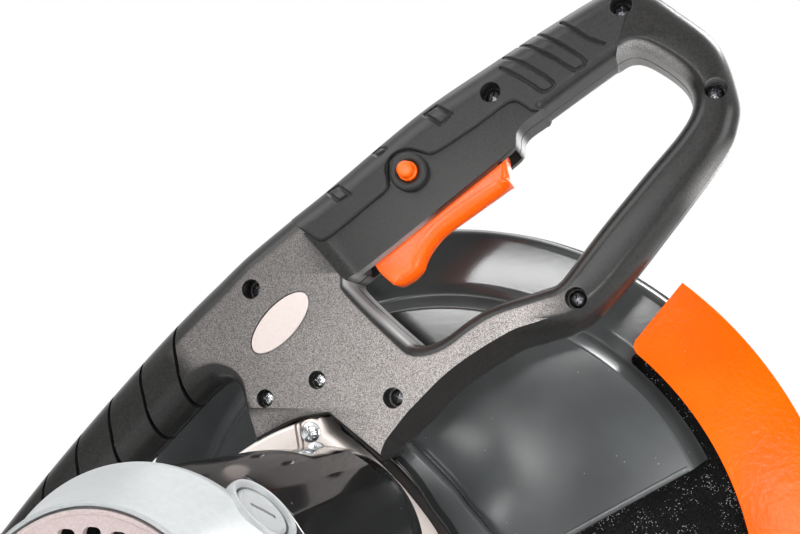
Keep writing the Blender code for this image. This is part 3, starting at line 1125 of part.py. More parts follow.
def build_bracket():
    top = FLOOR + TABLE + GAP
    ear_near = BARREL_NEAR - RUN - EAR_THICK
    ear_far = BARREL_FAR + SPRING_ROOM + EAR_THICK
    px, pz = PIVOT.x, PIVOT.z
    floor = top + BRACKET_FLOOR
    bracket = box("pivot_bracket", (px + BRACKET_REAR, ear_near, top), (px + BRACKET_FRONT, ear_far, floor),
                  BASE_PAINT)
    side = [(px - EAR_HALF, floor - 0.005), (px + EAR_HALF, floor - 0.005), (px + EAR_HALF, pz - 0.030),
            *arc((px, pz), BARREL_RADIUS, 0, 180, 10), (px - 0.030, pz - 0.020)]
    ears = [slab("bracket_ear_near", [side], ear_near, ear_near + EAR_THICK),
            slab("bracket_ear_far", [side], ear_far - EAR_THICK, ear_far)]
    shelf_top = top + SHELF_TALL
    shelf = box("bracket_shelf", (px + SHELF[0], STOP_Y - SHELF_WIDE / 2, top),
                (px + SHELF[1], STOP_Y + SHELF_WIDE / 2, shelf_top))
    bore = rod("bracket_bore", (px, -0.15, pz), (px, 0.1, pz), PIVOT_SHAFT + GAP, None, 24)
    pin = polar((px, pz), LOCK_REACH, LOCK_ANGLE)
    pin_bore = rod("lock_pin_bore", around(*pin, -0.12), around(*pin, -0.05), STUD_RADIUS + GAP, None, 16)
    stop = (px + STOP_X, STOP_Y)
    stop_bore = rod("stop_bore", (*stop, top + 0.004), (*stop, top + 0.05), STOP_RADIUS + GAP, None, 14)
    join(bracket, *ears, shelf)
    cut(bracket, bore, pin_bore, stop_bore)
    hang(MACHINE, bracket)

    near_end, far_end = ear_near - SHAFT_HEAD_THICK, ear_far + SHAFT_NUT_THICK
    shaft = rod("pivot_shaft", (px, near_end, pz), (px, far_end + RUN, pz), PIVOT_SHAFT, STEEL, 24)
    head = rod("pivot_shaft_head", (px, near_end, pz), (px, ear_near - GAP, pz), SHAFT_HEAD, None, 6)
    nut = rod("pivot_shaft_nut", (px, ear_far + GAP, pz), (px, far_end, pz), SHAFT_HEAD, None, 6)
    join(shaft, head, nut)
    stop_top = FLOOR + stop_height()
    stop_bolt = rod("depth_stop_bolt", (*stop, top + 0.005), (*stop, stop_top - STOP_HEAD_TALL / 2),
                    STOP_RADIUS, STEEL, 14)
    stop_head = rod("depth_stop_head", (*stop, stop_top - STOP_HEAD_TALL), (*stop, stop_top), STOP_HEAD,
                    None, 6)
    stop_nut = rod("depth_stop_nut", (*stop, shelf_top + GAP), (*stop, shelf_top + STOP_HEAD_TALL), STOP_HEAD,
                   None, 6)
    join(stop_bolt, stop_head, stop_nut)
    hang(MACHINE, shaft, stop_bolt)
    build_spring(ear_far - EAR_THICK)


def stop_height():
    """Height of the depth stop above the floor, a gap under the arm's lower edge with the head down."""
    start, end = (arm_point(*place, lowered=HEAD_TRAVEL) for place in ARM_UNDER[:2])
    share = (STOP_X - STOP_HEAD - start.x) / (end.x - start.x)
    return PIVOT_HEIGHT + start.y + (end.y - start.y) * share - GAP * 2


def build_spring(ear_face):
    """Torsion spring around the pivot shaft, one leg on the bracket's floor and one under the arm."""
    radius = SPRING_RADIUS
    first = BARREL_FAR + SPRING_WIRE + GAP
    last = ear_face - SPRING_WIRE - GAP
    points = []
    steps = 10
    for i in range(SPRING_TURNS * steps + 1):
        angle = 2 * math.pi * i / steps
        place = first + (last - first) * i / (SPRING_TURNS * steps)
        points.append((PIVOT.x - radius * math.cos(angle), place, PIVOT.z - radius * math.sin(angle)))
    lead = (PIVOT.x - radius, first, PIVOT.z + 0.012)
    foot = (PIVOT.x - radius, last, FLOOR + TABLE + BRACKET_FLOOR + GAP * 2)
    curve = bpy.data.curves.new("torsion_spring", "CURVE")
    curve.dimensions = "3D"
    curve.bevel_depth = SPRING_WIRE
    curve.bevel_resolution = 1
    curve.use_fill_caps = True
    spline = curve.splines.new("POLY")
    line = [lead, *points, foot]
    spline.points.add(len(line) - 1)
    for point, place in zip(spline.points, line):
        point.co = (*place, 1)
    spring = bpy.data.objects.new("torsion_spring", curve)
    finish(spring, STEEL)
    hang(MACHINE, spring)


def build_fence(axis, swing_centre):
    top = FLOOR + TABLE + GAP
    face = PIVOT.x + FENCE_FACE
    foot = box("fence", (face - FENCE_FOOT, FENCE_NEAR, top), (face, FENCE_FAR, top + FENCE_THICK),
               DARK_STEEL)
    wall = box("fence_wall", (face - FENCE_THICK, FENCE_NEAR, top), (face, FENCE_FAR, top + FENCE_TALL))
    web = slab("fence_web", [[(face - FENCE_FOOT + 0.004, top + 0.004), (face - 0.002, top + 0.004),
                              (face - 0.002, top + FENCE_TALL - 0.010)]], FENCE_NEAR + FENCE_WEB_PLACE,
               FENCE_NEAR + FENCE_WEB_PLACE + FENCE_WEB)
    hole = rod("fence_hole", (*swing_centre, top - 0.02), (*swing_centre, top + 0.03), STUD_RADIUS + GAP,
               None, 16)
    clamp = (swing_centre[0], swing_centre[1] - FENCE_CLAMP)
    clamp_hole = rod("fence_clamp_hole", (*clamp, top - 0.02), (*clamp, top + 0.03), STUD_RADIUS + GAP, None,
                     16)
    join(foot, wall, web)
    cut(foot, hole, clamp_hole)
    bolt = stud("fence_clamp_bolt", clamp, GAP, GAP * 2)
    hang(axis, foot, bolt)


def build_vice(jaw_axis, screw_axis, knob_axis):
    top = FLOOR + TABLE + GAP
    px = PIVOT.x
    z = FLOOR + SCREW_Z
    half = NUT_BLOCK_WIDE / 2
    block = box("vice_nut_block", (px + NUT_BLOCK, SCREW_Y - half, top),
                (px + NUT_BLOCK + NUT_BLOCK_THICK, SCREW_Y + half, z + NUT_BLOCK_OVER), BASE_PAINT)
    soften(block, BLOCK_EDGE)
    bore = rod("vice_bore", (px + NUT_BLOCK - 0.02, SCREW_Y, z), (px + NUT_BLOCK + 0.05, SCREW_Y, z),
               SCREW_RADIUS + GAP, None, 20)
    cut(block, bore)
    hang(MACHINE, block)

    jaw = box("vice_jaw", (px + JAW_FACE, JAW_NEAR, top),
              (px + JAW_FACE + JAW_THICK, JAW_FAR, top + JAW_TALL), DARK_STEEL)
    boss_start = px + JAW_FACE + JAW_THICK / 2
    boss_end = px + JAW_FACE + JAW_THICK + JAW_BOSS_LONG
    boss = rod("jaw_boss", (boss_start, SCREW_Y, z), (boss_end, SCREW_Y, z), JAW_BOSS, None, 20)
    foot = box("jaw_foot", (boss_start, SCREW_Y - JAW_FOOT_WIDE / 2, top),
               (boss_end, SCREW_Y + JAW_FOOT_WIDE / 2, top + JAW_FOOT_THICK))
    seat = rod("jaw_seat", (px + JAW_FACE + JAW_THICK, SCREW_Y, z), (boss_end + 0.01, SCREW_Y, z),
               SCREW_RADIUS + GAP, None, 20)
    join(jaw, foot, boss)
    cut(jaw, seat)
    hang(jaw_axis, jaw)

    screw = rod("vice_screw", (px + JAW_FACE + JAW_THICK + GAP, SCREW_Y, z),
                (px + CRANK - GAP, SCREW_Y, z), SCREW_RADIUS, STEEL, 20)
    crank = slab("vice_crank", [[*arc((SCREW_Y, z), CRANK_HUB, 180, 360, 8),
                                 *arc((SCREW_Y, z + CRANK_ARM), SCREW_RADIUS, 0, 180, 8)]], px + CRANK,
                 px + CRANK + CRANK_THICK, DARK_STEEL, plane="YZ")
    stud = rod("crank_stud", (px + CRANK + 0.004, SCREW_Y, z + CRANK_ARM),
               (px + CRANK + CRANK_THICK + KNOB_LONG - KNOB_CAP - GAP * 2, SCREW_Y, z + CRANK_ARM), KNOB_STUD,
               None, 14)
    join(crank, stud)
    hang(screw_axis, screw, crank)

    length = KNOB_LONG - GAP
    knob = turned("vice_knob", [(0, length), (0.0060, length), (0.0085, length - 0.004),
                                (0.0095, length * 0.55),
                                (0.0075, 0.006), (0.0085, 0), (KNOB_STUD + GAP, 0),
                                (KNOB_STUD + GAP, length - KNOB_CAP), (0, length - KNOB_CAP)],
                  (px + CRANK + CRANK_THICK + GAP, SCREW_Y, z + CRANK_ARM), GLOSS_BLACK, 20, axis=(1, 0, 0))
    hang(knob_axis, knob)


def build_lock_pin(axis, place):
    outside = BARREL_NEAR - RUN - EAR_THICK
    inside = outside + EAR_THICK
    knob = outside - LOCK_OUT
    pin = turned("lock_pin", [(0, inside - 0.001), (STUD_RADIUS - 0.001, inside - 0.001),
                              (STUD_RADIUS, inside - 0.002), (STUD_RADIUS, knob), (LOCK_KNOB, knob),
                              (LOCK_KNOB, knob - 0.0115), (LOCK_KNOB - 0.003, knob - 0.0155),
                              (0, knob - 0.0155)], around(*place), STEEL, 20)
    hang(axis, pin)


def main():
    swing_centre = build_base()
    build_bracket()
    head = axis_empty("head_pivot_axis", PIVOT)
    build_arm(head)
    build_fixed_guard(head)
    build_guard_retainer(head)
    build_gear_case(head)
    build_bearings(head)
    build_motor(head)
    build_handle(head)
    build_handle_fittings(head)
    build_swing_guard(axis_empty("swing_guard_axis", (0, 0, 0), head))
    build_wheel(axis_empty("wheel_axis", (0, 0, 0), head))
    build_rotor(axis_empty("rotor_axis", around(*MOTOR), head))
    build_trigger(axis_empty("trigger_axis", around(*TRIGGER_PIVOT, PARTING), head))
    build_button(axis_empty("button_axis", around(*BUTTON, HANDLE_NEAR), head))
    fence_axis = axis_empty("fence_axis", (*swing_centre, FLOOR + TABLE))
    build_fence(fence_axis, swing_centre)
    screw_place = (PIVOT.x + JAW_FACE, SCREW_Y, FLOOR + SCREW_Z)
    jaw_axis = axis_empty("vice_jaw_axis", screw_place)
    screw_axis = axis_empty("vice_screw_axis", screw_place, jaw_axis)
    knob_place = (PIVOT.x + CRANK + CRANK_THICK, SCREW_Y, FLOOR + SCREW_Z + CRANK_ARM)
    build_vice(jaw_axis, screw_axis, axis_empty("vice_knob_axis", knob_place, screw_axis))
    lock_place = polar((PIVOT.x, PIVOT.z), LOCK_REACH, LOCK_ANGLE)
    build_lock_pin(axis_empty("lock_pin_axis", around(*lock_place, BARREL_NEAR)), lock_place)


main()
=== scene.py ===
"""Looks of the abrasive cut-off machine: dense surfaces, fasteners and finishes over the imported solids."""
import json
import math
from functools import partialmethod

import bmesh
import bpy
import numpy as np
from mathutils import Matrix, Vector
from mathutils.geometry import tessellate_polygon


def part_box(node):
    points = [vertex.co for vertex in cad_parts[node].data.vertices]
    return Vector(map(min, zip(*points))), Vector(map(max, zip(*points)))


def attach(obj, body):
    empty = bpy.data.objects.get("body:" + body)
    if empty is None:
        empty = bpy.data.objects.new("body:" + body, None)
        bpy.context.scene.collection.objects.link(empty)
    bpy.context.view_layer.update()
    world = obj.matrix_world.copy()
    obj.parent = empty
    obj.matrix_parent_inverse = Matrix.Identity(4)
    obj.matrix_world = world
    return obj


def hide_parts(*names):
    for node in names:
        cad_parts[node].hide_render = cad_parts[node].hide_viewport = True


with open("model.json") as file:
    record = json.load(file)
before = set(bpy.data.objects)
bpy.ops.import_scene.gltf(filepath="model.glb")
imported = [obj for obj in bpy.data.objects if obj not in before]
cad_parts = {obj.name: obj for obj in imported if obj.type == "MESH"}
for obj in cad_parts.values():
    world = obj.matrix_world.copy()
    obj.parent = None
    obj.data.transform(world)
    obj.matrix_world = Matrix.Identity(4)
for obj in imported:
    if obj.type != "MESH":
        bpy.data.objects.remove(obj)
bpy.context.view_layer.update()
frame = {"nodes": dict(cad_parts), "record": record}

NODES = frame["nodes"]
NODE_BODY = {node: body for body, nodes in frame["record"]["behaviour"]["bodies"].items() for node in nodes}
NODE_SLOT = {part["node"]: part["material_slot"] for part in frame["record"]["subparts"]}

# Everything is drawn from the wheel's centre, in millimetres: X to the user, Y away from the motor, Z up
wheel_low, wheel_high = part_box("cutting_wheel")
CENTRE = (np.array(wheel_low) + np.array(wheel_high)) / 2
MM = 0.001

# Planes along Y, from the motor's end to the guard's far side
VENT_FACE = -282.5
HOUSING_END = -257.8
BRUSH_PLANE = -244.0
HANDLE_NEAR = -85.5
CASE_END = -85.0
PARTING = -67.5
RING_END = -60.0
HANDLE_FAR = -49.5
BOSS_FACE = -46.5
SWING_FACE = -36.5
PLATEAU_FACE = -35.0
RIM_FACE = -21.0
FAR_COVER = 20.3
SWING_FAR = 27.5
# Planes outside the handle on both sides, for what is cut right through it
CUT_NEAR = -110
CUT_FAR = -30

# Places and radii in the X and Z plane
SPINDLE = (0, 0)
MOTOR = (-44.94, 21.92)
POST = (-53.5, 79.3)
BUTTON = (-1.8, 209.3)
BADGE = (-70.9, 134.5)
BEND = (-161.7, -52)
BEND_OUTER = 110.0
BEND_START, BEND_END = 215, 141
TUBE_DEEP = 35.0
TUBE_MIDDLE = BEND_OUTER - TUBE_DEEP / 2
EDGE_SLOPE = 30.3
EDGE_DROP = 12.8
EDGE_ALONG = np.array([math.cos(math.radians(EDGE_SLOPE)), math.sin(math.radians(EDGE_SLOPE))])
EDGE_DOWN = np.array([EDGE_ALONG[1], -EDGE_ALONG[0]])

HANDLE_TOP = [(-212.9, 56.6), (-173.7, 98.3), (-134.8, 136.9), (-96, 170.4), (-49.9, 204.9), (-0.1, 242),
    (37.3, 264.4), (68.3, 281.8), (92.5, 294), (104.5, 298.4), (116.8, 293.1), (130.6, 281.5),
    (148.5, 263.3), (156.4, 238.1), (155.9, 223.8), (148.6, 208.4), (122.6, 174.1), (98.6, 144.4),
    (81.7, 129.6), (64.9, 123.8), (50, 118.9), (24.7, 102.9), (3.9, 83.3), (-16.1, 66)]
HANDLE_FOOT = [(-44.1, 88.5), (-62, 85), (-83.9, 74.3)]
HANDLE_LOW = [(-90, 90.5), (-96.6, 103.1), (-106.8, 104), (-117.3, 97.6), (-138.2, 77.4), (-155, 60.9),
    (-188, 28.6)]
HOLE_UNDER = [(-3.8, 125.2), (2, 122.3), (13, 125), (27.5, 134.9), (40.3, 141.7), (62.9, 148.7),
    (71.3, 152), (80.3, 163), (93.2, 179.4), (112.3, 202.1), (129.2, 221.7), (135.6, 234), (133.6, 245),
    (123.2, 256), (110.2, 263.5), (98, 259)]
HOLE_OVER = [(76, 244.3), (62.5, 235.3), (55.2, 230.3), (52.4, 226), (51.6, 219.8), (45, 213.9),
    (36, 207.2), (-20, 165.5), (-32, 157), (-33, 151.5)]
PANEL_EDGE = [(-65.5, 187.3), (-60.4, 182.9), (-54.8, 179), (-50.4, 176.7), (-46.6, 177.1), (-38.4, 182.5),
    (-25, 192.6), (-14.4, 200.8), (-12.8, 205.9), (-13.9, 211.1), (-12.8, 216.2), (-8.6, 220),
    (-2.3, 221.1), (4, 219.2), (7.6, 217.9), (10.7, 218.2), (16.9, 221.3), (32.2, 230.4), (44.9, 239),
    (48.9, 241.2), (52.8, 241.4), (57, 238.4), (60.1, 236.1), (63.6, 236.2)]
HANDLE_SCREWS = [(104.1, 284.3), (145.8, 239.8), (40, 247), (79.9, 144), (-87.6, 152.4), (-10.1, 96.7)]
TAB_BOLTS = [(-50.2, 105.4), (-78.7, 95.9)]
TAB = [(-80, 70), (-56, 76), (-44, 108), (-54, 114), (-82, 105)]
TRIGGER_LINE = [(46.3, 210.7), (47.2, 205.4), (46.1, 201.4), (30, 190.3), (14.1, 179.6), (6.7, 172.1),
    (2.9, 165.9), (0.8, 160.8), (-3, 156.8), (-8.4, 153.8), (-12.7, 153.4), (-14.5, 154.9), (-19.8, 159.7),
    (-23.1, 164.4)]
TRIGGER_BACK = [(-21.5, 170.5), (29.5, 216.5), (40, 223.5), (45.5, 218)]
TRIGGER_ROOM = [(53, 208), (48, 190), (-10, 145), (-30, 160), (-33, 180), (25, 224), (40, 229), (50, 225)]


# Curves and outlines

def run_along(line):
    """Distance along a line at each of its points."""
    return np.concatenate([[0], np.cumsum(np.linalg.norm(np.diff(line, axis=0), axis=1))])


def spread(line, count, closed=False):
    """Points spaced evenly along a line. A closed line leaves out its repeated end."""
    run = run_along(line)
    at = np.linspace(0, run[-1], count)[:-1 if closed else None]
    return np.stack([np.interp(at, run, line[:, k]) for k in (0, 1)], 1)


def even(line, step, closed=False):
    """Points about a step apart along a line."""
    return spread(line, max(2, int(round(run_along(line)[-1] / step)) + 1), closed)


def smooth_line(points, step, closed=False):
    """A Catmull-Rom curve through the points, then evenly spaced along its length."""
    p = np.array(points, float)
    before, after = (p[-1:], p[:2]) if closed else (p[:1], p[-1:])
    q = np.concatenate([before, p, after])
    t = np.linspace(0, 1, 16, endpoint=False)[:, None, None]
    a, b, c, d = q[:-3], q[1:-2], q[2:-1], q[3:]
    bent, twisted = 2 * a - 5 * b + 4 * c - d, 3 * b - a - 3 * c + d
    curve = 0.5 * (2 * b + (c - a) * t + bent * t ** 2 + twisted * t ** 3)
    dense = curve.transpose(1, 0, 2).reshape(-1, 2)
    return even(np.concatenate([dense, dense[:1] if closed else p[-1:]]), step, closed)


def arc(centre, radius, start, end, steps):
    """Points at a radius from a centre, from one angle in degrees to another."""
    turn = np.radians(np.linspace(start, end, steps + 1))
    return np.stack([centre[0] + radius * np.cos(turn), centre[1] + radius * np.sin(turn)], 1)


def at_angle(centre, radius, degrees):
    """The one point at a radius and an angle from a centre."""
    return arc(centre, radius, degrees, degrees, 0)[0]


def inward(line):
    """Unit normals of a closed line, pointing into the area that it encloses.

    Half the sum of its neighbours' cross products is positive when it runs anticlockwise.
    """
    x, z = line[:, 0], line[:, 1]
    area = 0.5 * np.sum(x * np.roll(z, -1) - z * np.roll(x, -1))
    along = np.roll(line, -1, 0) - np.roll(line, 1, 0)
    along /= np.maximum(np.linalg.norm(along, axis=1, keepdims=True), 1e-9)
    return np.stack([-along[:, 1], along[:, 0]], 1) * (1 if area > 0 else -1)


def held(width, line, normal, passes, ease, share):
    """Widths along a closed line, held below a share of the room beside it.

    The room is the radius of the largest circle that touches a point from the normal's side and holds no
    other: for points p and q, the squared distance over twice the distance along the normal. It may stand
    above the mean of its neighbours by the ease.
    """
    gap = line[None] - line[:, None]
    reach = np.einsum("ijk,ik->ij", gap, normal)
    square = (gap ** 2).sum(2)
    free = np.where(reach > 1e-6, square / np.maximum(2 * reach, 1e-9), 1e3).min(1)
    for _ in range(passes):
        free = np.minimum(free, 0.5 * (np.roll(free, 1) + np.roll(free, -1)) + ease)
    return np.minimum(width, share * free)


def widths_along(line, marks):
    """Sizes given at some places, read at every point of a closed line by the distance along it."""
    run = run_along(line)
    total = run[-1] + np.linalg.norm(line[0] - line[-1])
    marks = np.array(marks, float)
    nearest = ((line[None] - marks[:, None, :2]) ** 2).sum(2).argmin(1)
    order = np.argsort(run[nearest])
    at, values = run[nearest][order], marks[order, 2:]
    return np.stack([np.interp(run, at, values[:, k], period=total) for k in range(values.shape[1])], 1)


def drawn_in(line, normal, draw, y):
    """A line moved along its normals and set on a plane, or at a Y for each point."""
    return np.insert(line + normal * np.reshape(draw, (-1, 1)), 1, y, axis=1)


def fill(loops):
    """Triangles of a flat area with holes, as numbers into the loops' points one after another."""
    return np.array(tessellate_polygon([[Vector((x, z, 0)) for x, z in loop] for loop in loops]))


# Meshes: a part is its points with its faces, and a piece is made of a list of parts

def lattice(rows, columns, wrap_rows=False, wrap_columns=True):
    """Four-sided faces of a grid of points, row by row, joined end to end where it wraps."""
    i = np.arange(rows if wrap_rows else rows - 1)[:, None]
    j = np.arange(columns if wrap_columns else columns - 1)[None]
    k, l = (i + 1) % rows, (j + 1) % columns
    corners = (i * columns + j, k * columns + j, k * columns + l, i * columns + l)
    return np.stack(np.broadcast_arrays(*corners), -1).reshape(-1, 4).tolist()


def skin(grid, filled=False):
    """A part from rings of points, its two ends closed by one face each, or filled by triangles."""
    n, m = grid.shape[:2]
    faces = lattice(n, m)
    for ring, first in ((grid[0], 0), (grid[-1], (n - 1) * m)):
        ends = (fill([ring[:, [0, 2]]]) + first).tolist() if filled else [tuple(range(first, first + m))]
        faces += ends
    return grid.reshape(-1, 3), faces


def prism(line, near, far):
    """A flat outline carried straight along Y, with both ends closed."""
    line = np.asarray(line, float)
    return skin(np.stack([np.insert(line, 1, y, axis=1) for y in (near, far)]), True)


def hole(place, radius, far, near=CUT_NEAR):
    """A round bar of 36 sides along Y."""
    return prism(arc(place, radius, 0, 350, 35), near, far)


def eased(profile, steps, radius=0):
    """A profile with each corner swapped for a curve that starts and ends a radius from it.

    The curve is the quadratic one through the corner's two sides. A point may carry its own radius.
    """
    found = []
    for i, (x, y, *own) in enumerate(profile):
        here, r = np.array([x, y]), own[0] if own else radius
        if r == 0:
            found.append(here)
            continue
        sides = [np.array(profile[k][:2]) - here for k in (i - 1, (i + 1) % len(profile))]
        long = [np.linalg.norm(side) for side in sides]
        a, b = (here + side / size * min(r, min(long) * 0.49) for side, size in zip(sides, long))
        found += [(1 - t) ** 2 * a + 2 * t * (1 - t) * here + t ** 2 * b
                  for t in np.linspace(0, 1, steps + 1)]
    return np.array(found)


def turned(profile, ease=4, centre=SPINDLE, steps=64, start=0, sweep=360):
    """A closed, eased profile of radius and Y turned about an axis along Y: x = r cos a, z = r sin a."""
    profile = eased(profile, ease)
    whole = sweep == 360
    turn = np.radians(start + np.linspace(0, sweep, steps + 1))
    turn = turn[:-1] if whole else turn
    r, y = profile[:, 0][None], profile[:, 1][None]
    x = centre[0] + np.cos(turn)[:, None] * r
    z = centre[1] + np.sin(turn)[:, None] * r
    grid = np.stack([x, np.broadcast_to(y, x.shape), z], -1)
    faces = lattice(len(turn), len(profile), whole)
    if not whole:
        ends = fill([profile])
        faces += ends.tolist() + (ends + (len(turn) - 1) * len(profile)).tolist()
    return grid.reshape(-1, 3), faces


def aligned(part, place, axis=(0, 1, 0), up=(0, 0, 1)):
    """A part drawn along Y from the origin, turned to point along an axis and moved to its place."""
    points, faces = part
    along = np.array(axis, float) / np.linalg.norm(axis)
    side = np.cross(along, up)
    side /= np.linalg.norm(side)
    top = np.cross(side, along)
    return points @ np.array([side, along, top]) + np.array(place, float), faces


def screw_head(radius, height):
    """A domed head with a cross recess, drawn towards -Y from its seat.

    The dome's height is height times the root of one less the squared share of the radius. The cross is
    where either coordinate is within an eighth of the radius, sunk by a share of the height.
    """
    share = np.concatenate([[0.001], np.linspace(0.05, 0.97, 22), [1]])
    turn = np.radians(np.arange(0, 360, 3.75))
    r = share[None] * radius
    x, z = np.cos(turn)[:, None] * r, np.sin(turn)[:, None] * r
    dome = height * np.sqrt(np.maximum(0, 1 - (share[None] * 0.93) ** 2)) + 0 * x
    reach, arm = radius * 0.62, radius * 0.13
    across = np.minimum(np.abs(x), np.abs(z))
    along = np.maximum(np.abs(x), np.abs(z))
    narrow = np.clip((arm - across) / (arm * 0.4) + 0.5, 0, 1)
    sunk = narrow * np.clip((reach - along) / (radius * 0.08) + 0.5, 0, 1)
    dome = dome - sunk * height * 0.55
    grid = np.stack([x, -dome, z], -1)
    grid = np.concatenate([grid, grid[:, -1:] * [1, 0, 1]], 1)
    n, m = grid.shape[:2]
    ends = [tuple(range(0, n * m, m)), tuple(range(m - 1, n * m, m))]
    return grid.reshape(-1, 3), lattice(n, m, True, False) + ends


def bolt_head(across, height, washer):
    """A hexagon with a chamfered outer face on a washer, drawn towards -Y."""
    turn = np.radians(np.arange(0, 360, 6))
    edge = across / 2 / np.cos((turn + math.pi / 6) % (math.pi / 3) - math.pi / 6)
    top = np.minimum(edge, across / 2 * 1.01)
    wide = np.full(len(turn), across / math.sqrt(3) * 1.25)
    rings = [(wide, 0), (wide, -washer * 0.8), (wide * 0.97, -washer), (edge, -washer * 0.999),
             (edge, -washer - height * 0.82), (top * 0.99, -washer - height)]
    grid = [np.stack([np.cos(turn) * r, np.full(len(turn), y), np.sin(turn) * r], -1) for r, y in rings]
    return skin(np.stack(grid))


def heads_around(head, radius, y, angles):
    """Copies of a head that look away from the motor, at a radius from the spindle."""
    places = (at_angle(SPINDLE, radius, degrees) for degrees in angles)
    return [aligned(head, (x, y, z), (0, -1, 0)) for x, z in places]


def tube(path, radius, steps):
    """A circle carried along a path. At each point it lies across the path's direction."""
    along = np.gradient(path, axis=0)
    along /= np.linalg.norm(along, axis=1, keepdims=True)
    side = np.cross(along, np.array([0.21, 0.31, 0.93]))
    side /= np.linalg.norm(side, axis=1, keepdims=True)
    top = np.cross(side, along)
    turn = np.radians(np.arange(0, 360, 360 / steps))[None, :, None]
    return skin(path[:, None] + radius * (np.cos(turn) * side[:, None] + np.sin(turn) * top[:, None]))


# Pieces

def add_object(name, data):
    """A new object in the scene with this mesh, lamp or camera."""
    obj = bpy.data.objects.new(name, data)
    bpy.context.scene.collection.objects.link(obj)
    return obj


def modified(obj, kind, **settings):
    """Gives an object a modifier with its settings."""
    step = obj.modifiers.new(kind.lower(), kind)
    for key, value in settings.items():
        setattr(step, key, value)


def polished(obj, angle=35, bevel=0, segments=3):
    """Smooth shading with sharp edges past an angle, and narrow rounded edges where asked."""
    obj.data.shade_smooth()
    obj.data.set_sharp_from_angle(angle=math.radians(angle))
    if bevel:
        modified(obj, "BEVEL", width=bevel * MM, segments=segments, limit_method="ANGLE",
                 angle_limit=math.radians(40), harden_normals=True, use_clamp_overlap=True)
    return obj


def make(name, parts, finish=None, angle=35, weld=0.002):
    """A piece of one mesh, placed in the machine, with its doubles merged and its faces pointing out."""
    points, faces, first = [], [], 0
    for some, theirs in parts:
        points.append(np.asarray(some, float).reshape(-1, 3))
        faces += [tuple(int(n) + first for n in face) for face in theirs]
        first += len(points[-1])
    mesh = bpy.data.meshes.new(name)
    mesh.from_pydata((np.concatenate(points) * MM + CENTRE).tolist(), [], faces)
    bm = bmesh.new()
    bm.from_mesh(mesh)
    bmesh.ops.remove_doubles(bm, verts=bm.verts, dist=weld * MM)
    bmesh.ops.dissolve_degenerate(bm, edges=bm.edges, dist=1e-7)
    bmesh.ops.recalc_face_normals(bm, faces=bm.faces)
    bm.to_mesh(mesh)
    bm.free()
    if finish:
        mesh.materials.append(FINISHES[finish])
    return polished(add_object(name, mesh), angle)


def carve(obj, *forms, operation="DIFFERENCE", angle=35, bevel=0):
    """Cuts forms, each a list of parts, out of a piece, or joins them to it, and keeps the result."""
    cutters = [make("form", form) for form in forms]
    for cutter in cutters:
        modified(obj, "BOOLEAN", operation=operation, solver="EXACT", object=cutter)
    graph = bpy.context.evaluated_depsgraph_get()
    mesh = bpy.data.meshes.new_from_object(obj.evaluated_get(graph))
    obj.modifiers.clear()
    obj.data = mesh
    for cutter in cutters:
        bpy.data.objects.remove(cutter, do_unlink=True)
    return polished(obj, angle, bevel, 2)


def fitted(obj, *nodes, body="head", slot=None):
    """Lets a piece ride on its body and stand for its nodes."""
    if nodes:
        body, slot = NODE_BODY[nodes[0]], slot or NODE_SLOT[nodes[0]]
    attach(obj, body)
    if nodes:
        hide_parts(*nodes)


def piece(name, parts, finish, *nodes, angle=35, body="head", slot=None):
    """A piece that needs no carving."""
    fitted(make(name, parts, finish, angle), *nodes, body=body, slot=slot or (None if nodes else finish))


# Finishes

FINISHES = {}


class Wire:
    """A value in a finish. Sums, products and powers of it add their Math nodes."""

    def __init__(self, recipe, socket):
        self.recipe, self.socket = recipe, socket

    def sum(self, operation, *others):
        """A Math node on this value and the others."""
        return self.recipe.node("Math", dict(enumerate((self, *others))), operation=operation)

    __add__ = __radd__ = partialmethod(sum, "ADD")
    __mul__ = __rmul__ = partialmethod(sum, "MULTIPLY")
    __sub__ = partialmethod(sum, "SUBTRACT")
    __pow__ = partialmethod(sum, "POWER")
    __abs__ = partialmethod(sum, "ABSOLUTE")
    most = partialmethod(sum, "MAXIMUM")

    def __rsub__(self, other):
        return self.recipe.node("Math", {0: other, 1: self}, operation="SUBTRACT")

    def between(self, low, high):
        """0 below low, 1 above high, with soft ends."""
        return self.recipe.node("MapRange", {"Value": self, "From Min": low, "From Max": high},
            interpolation_type="SMOOTHSTEP")


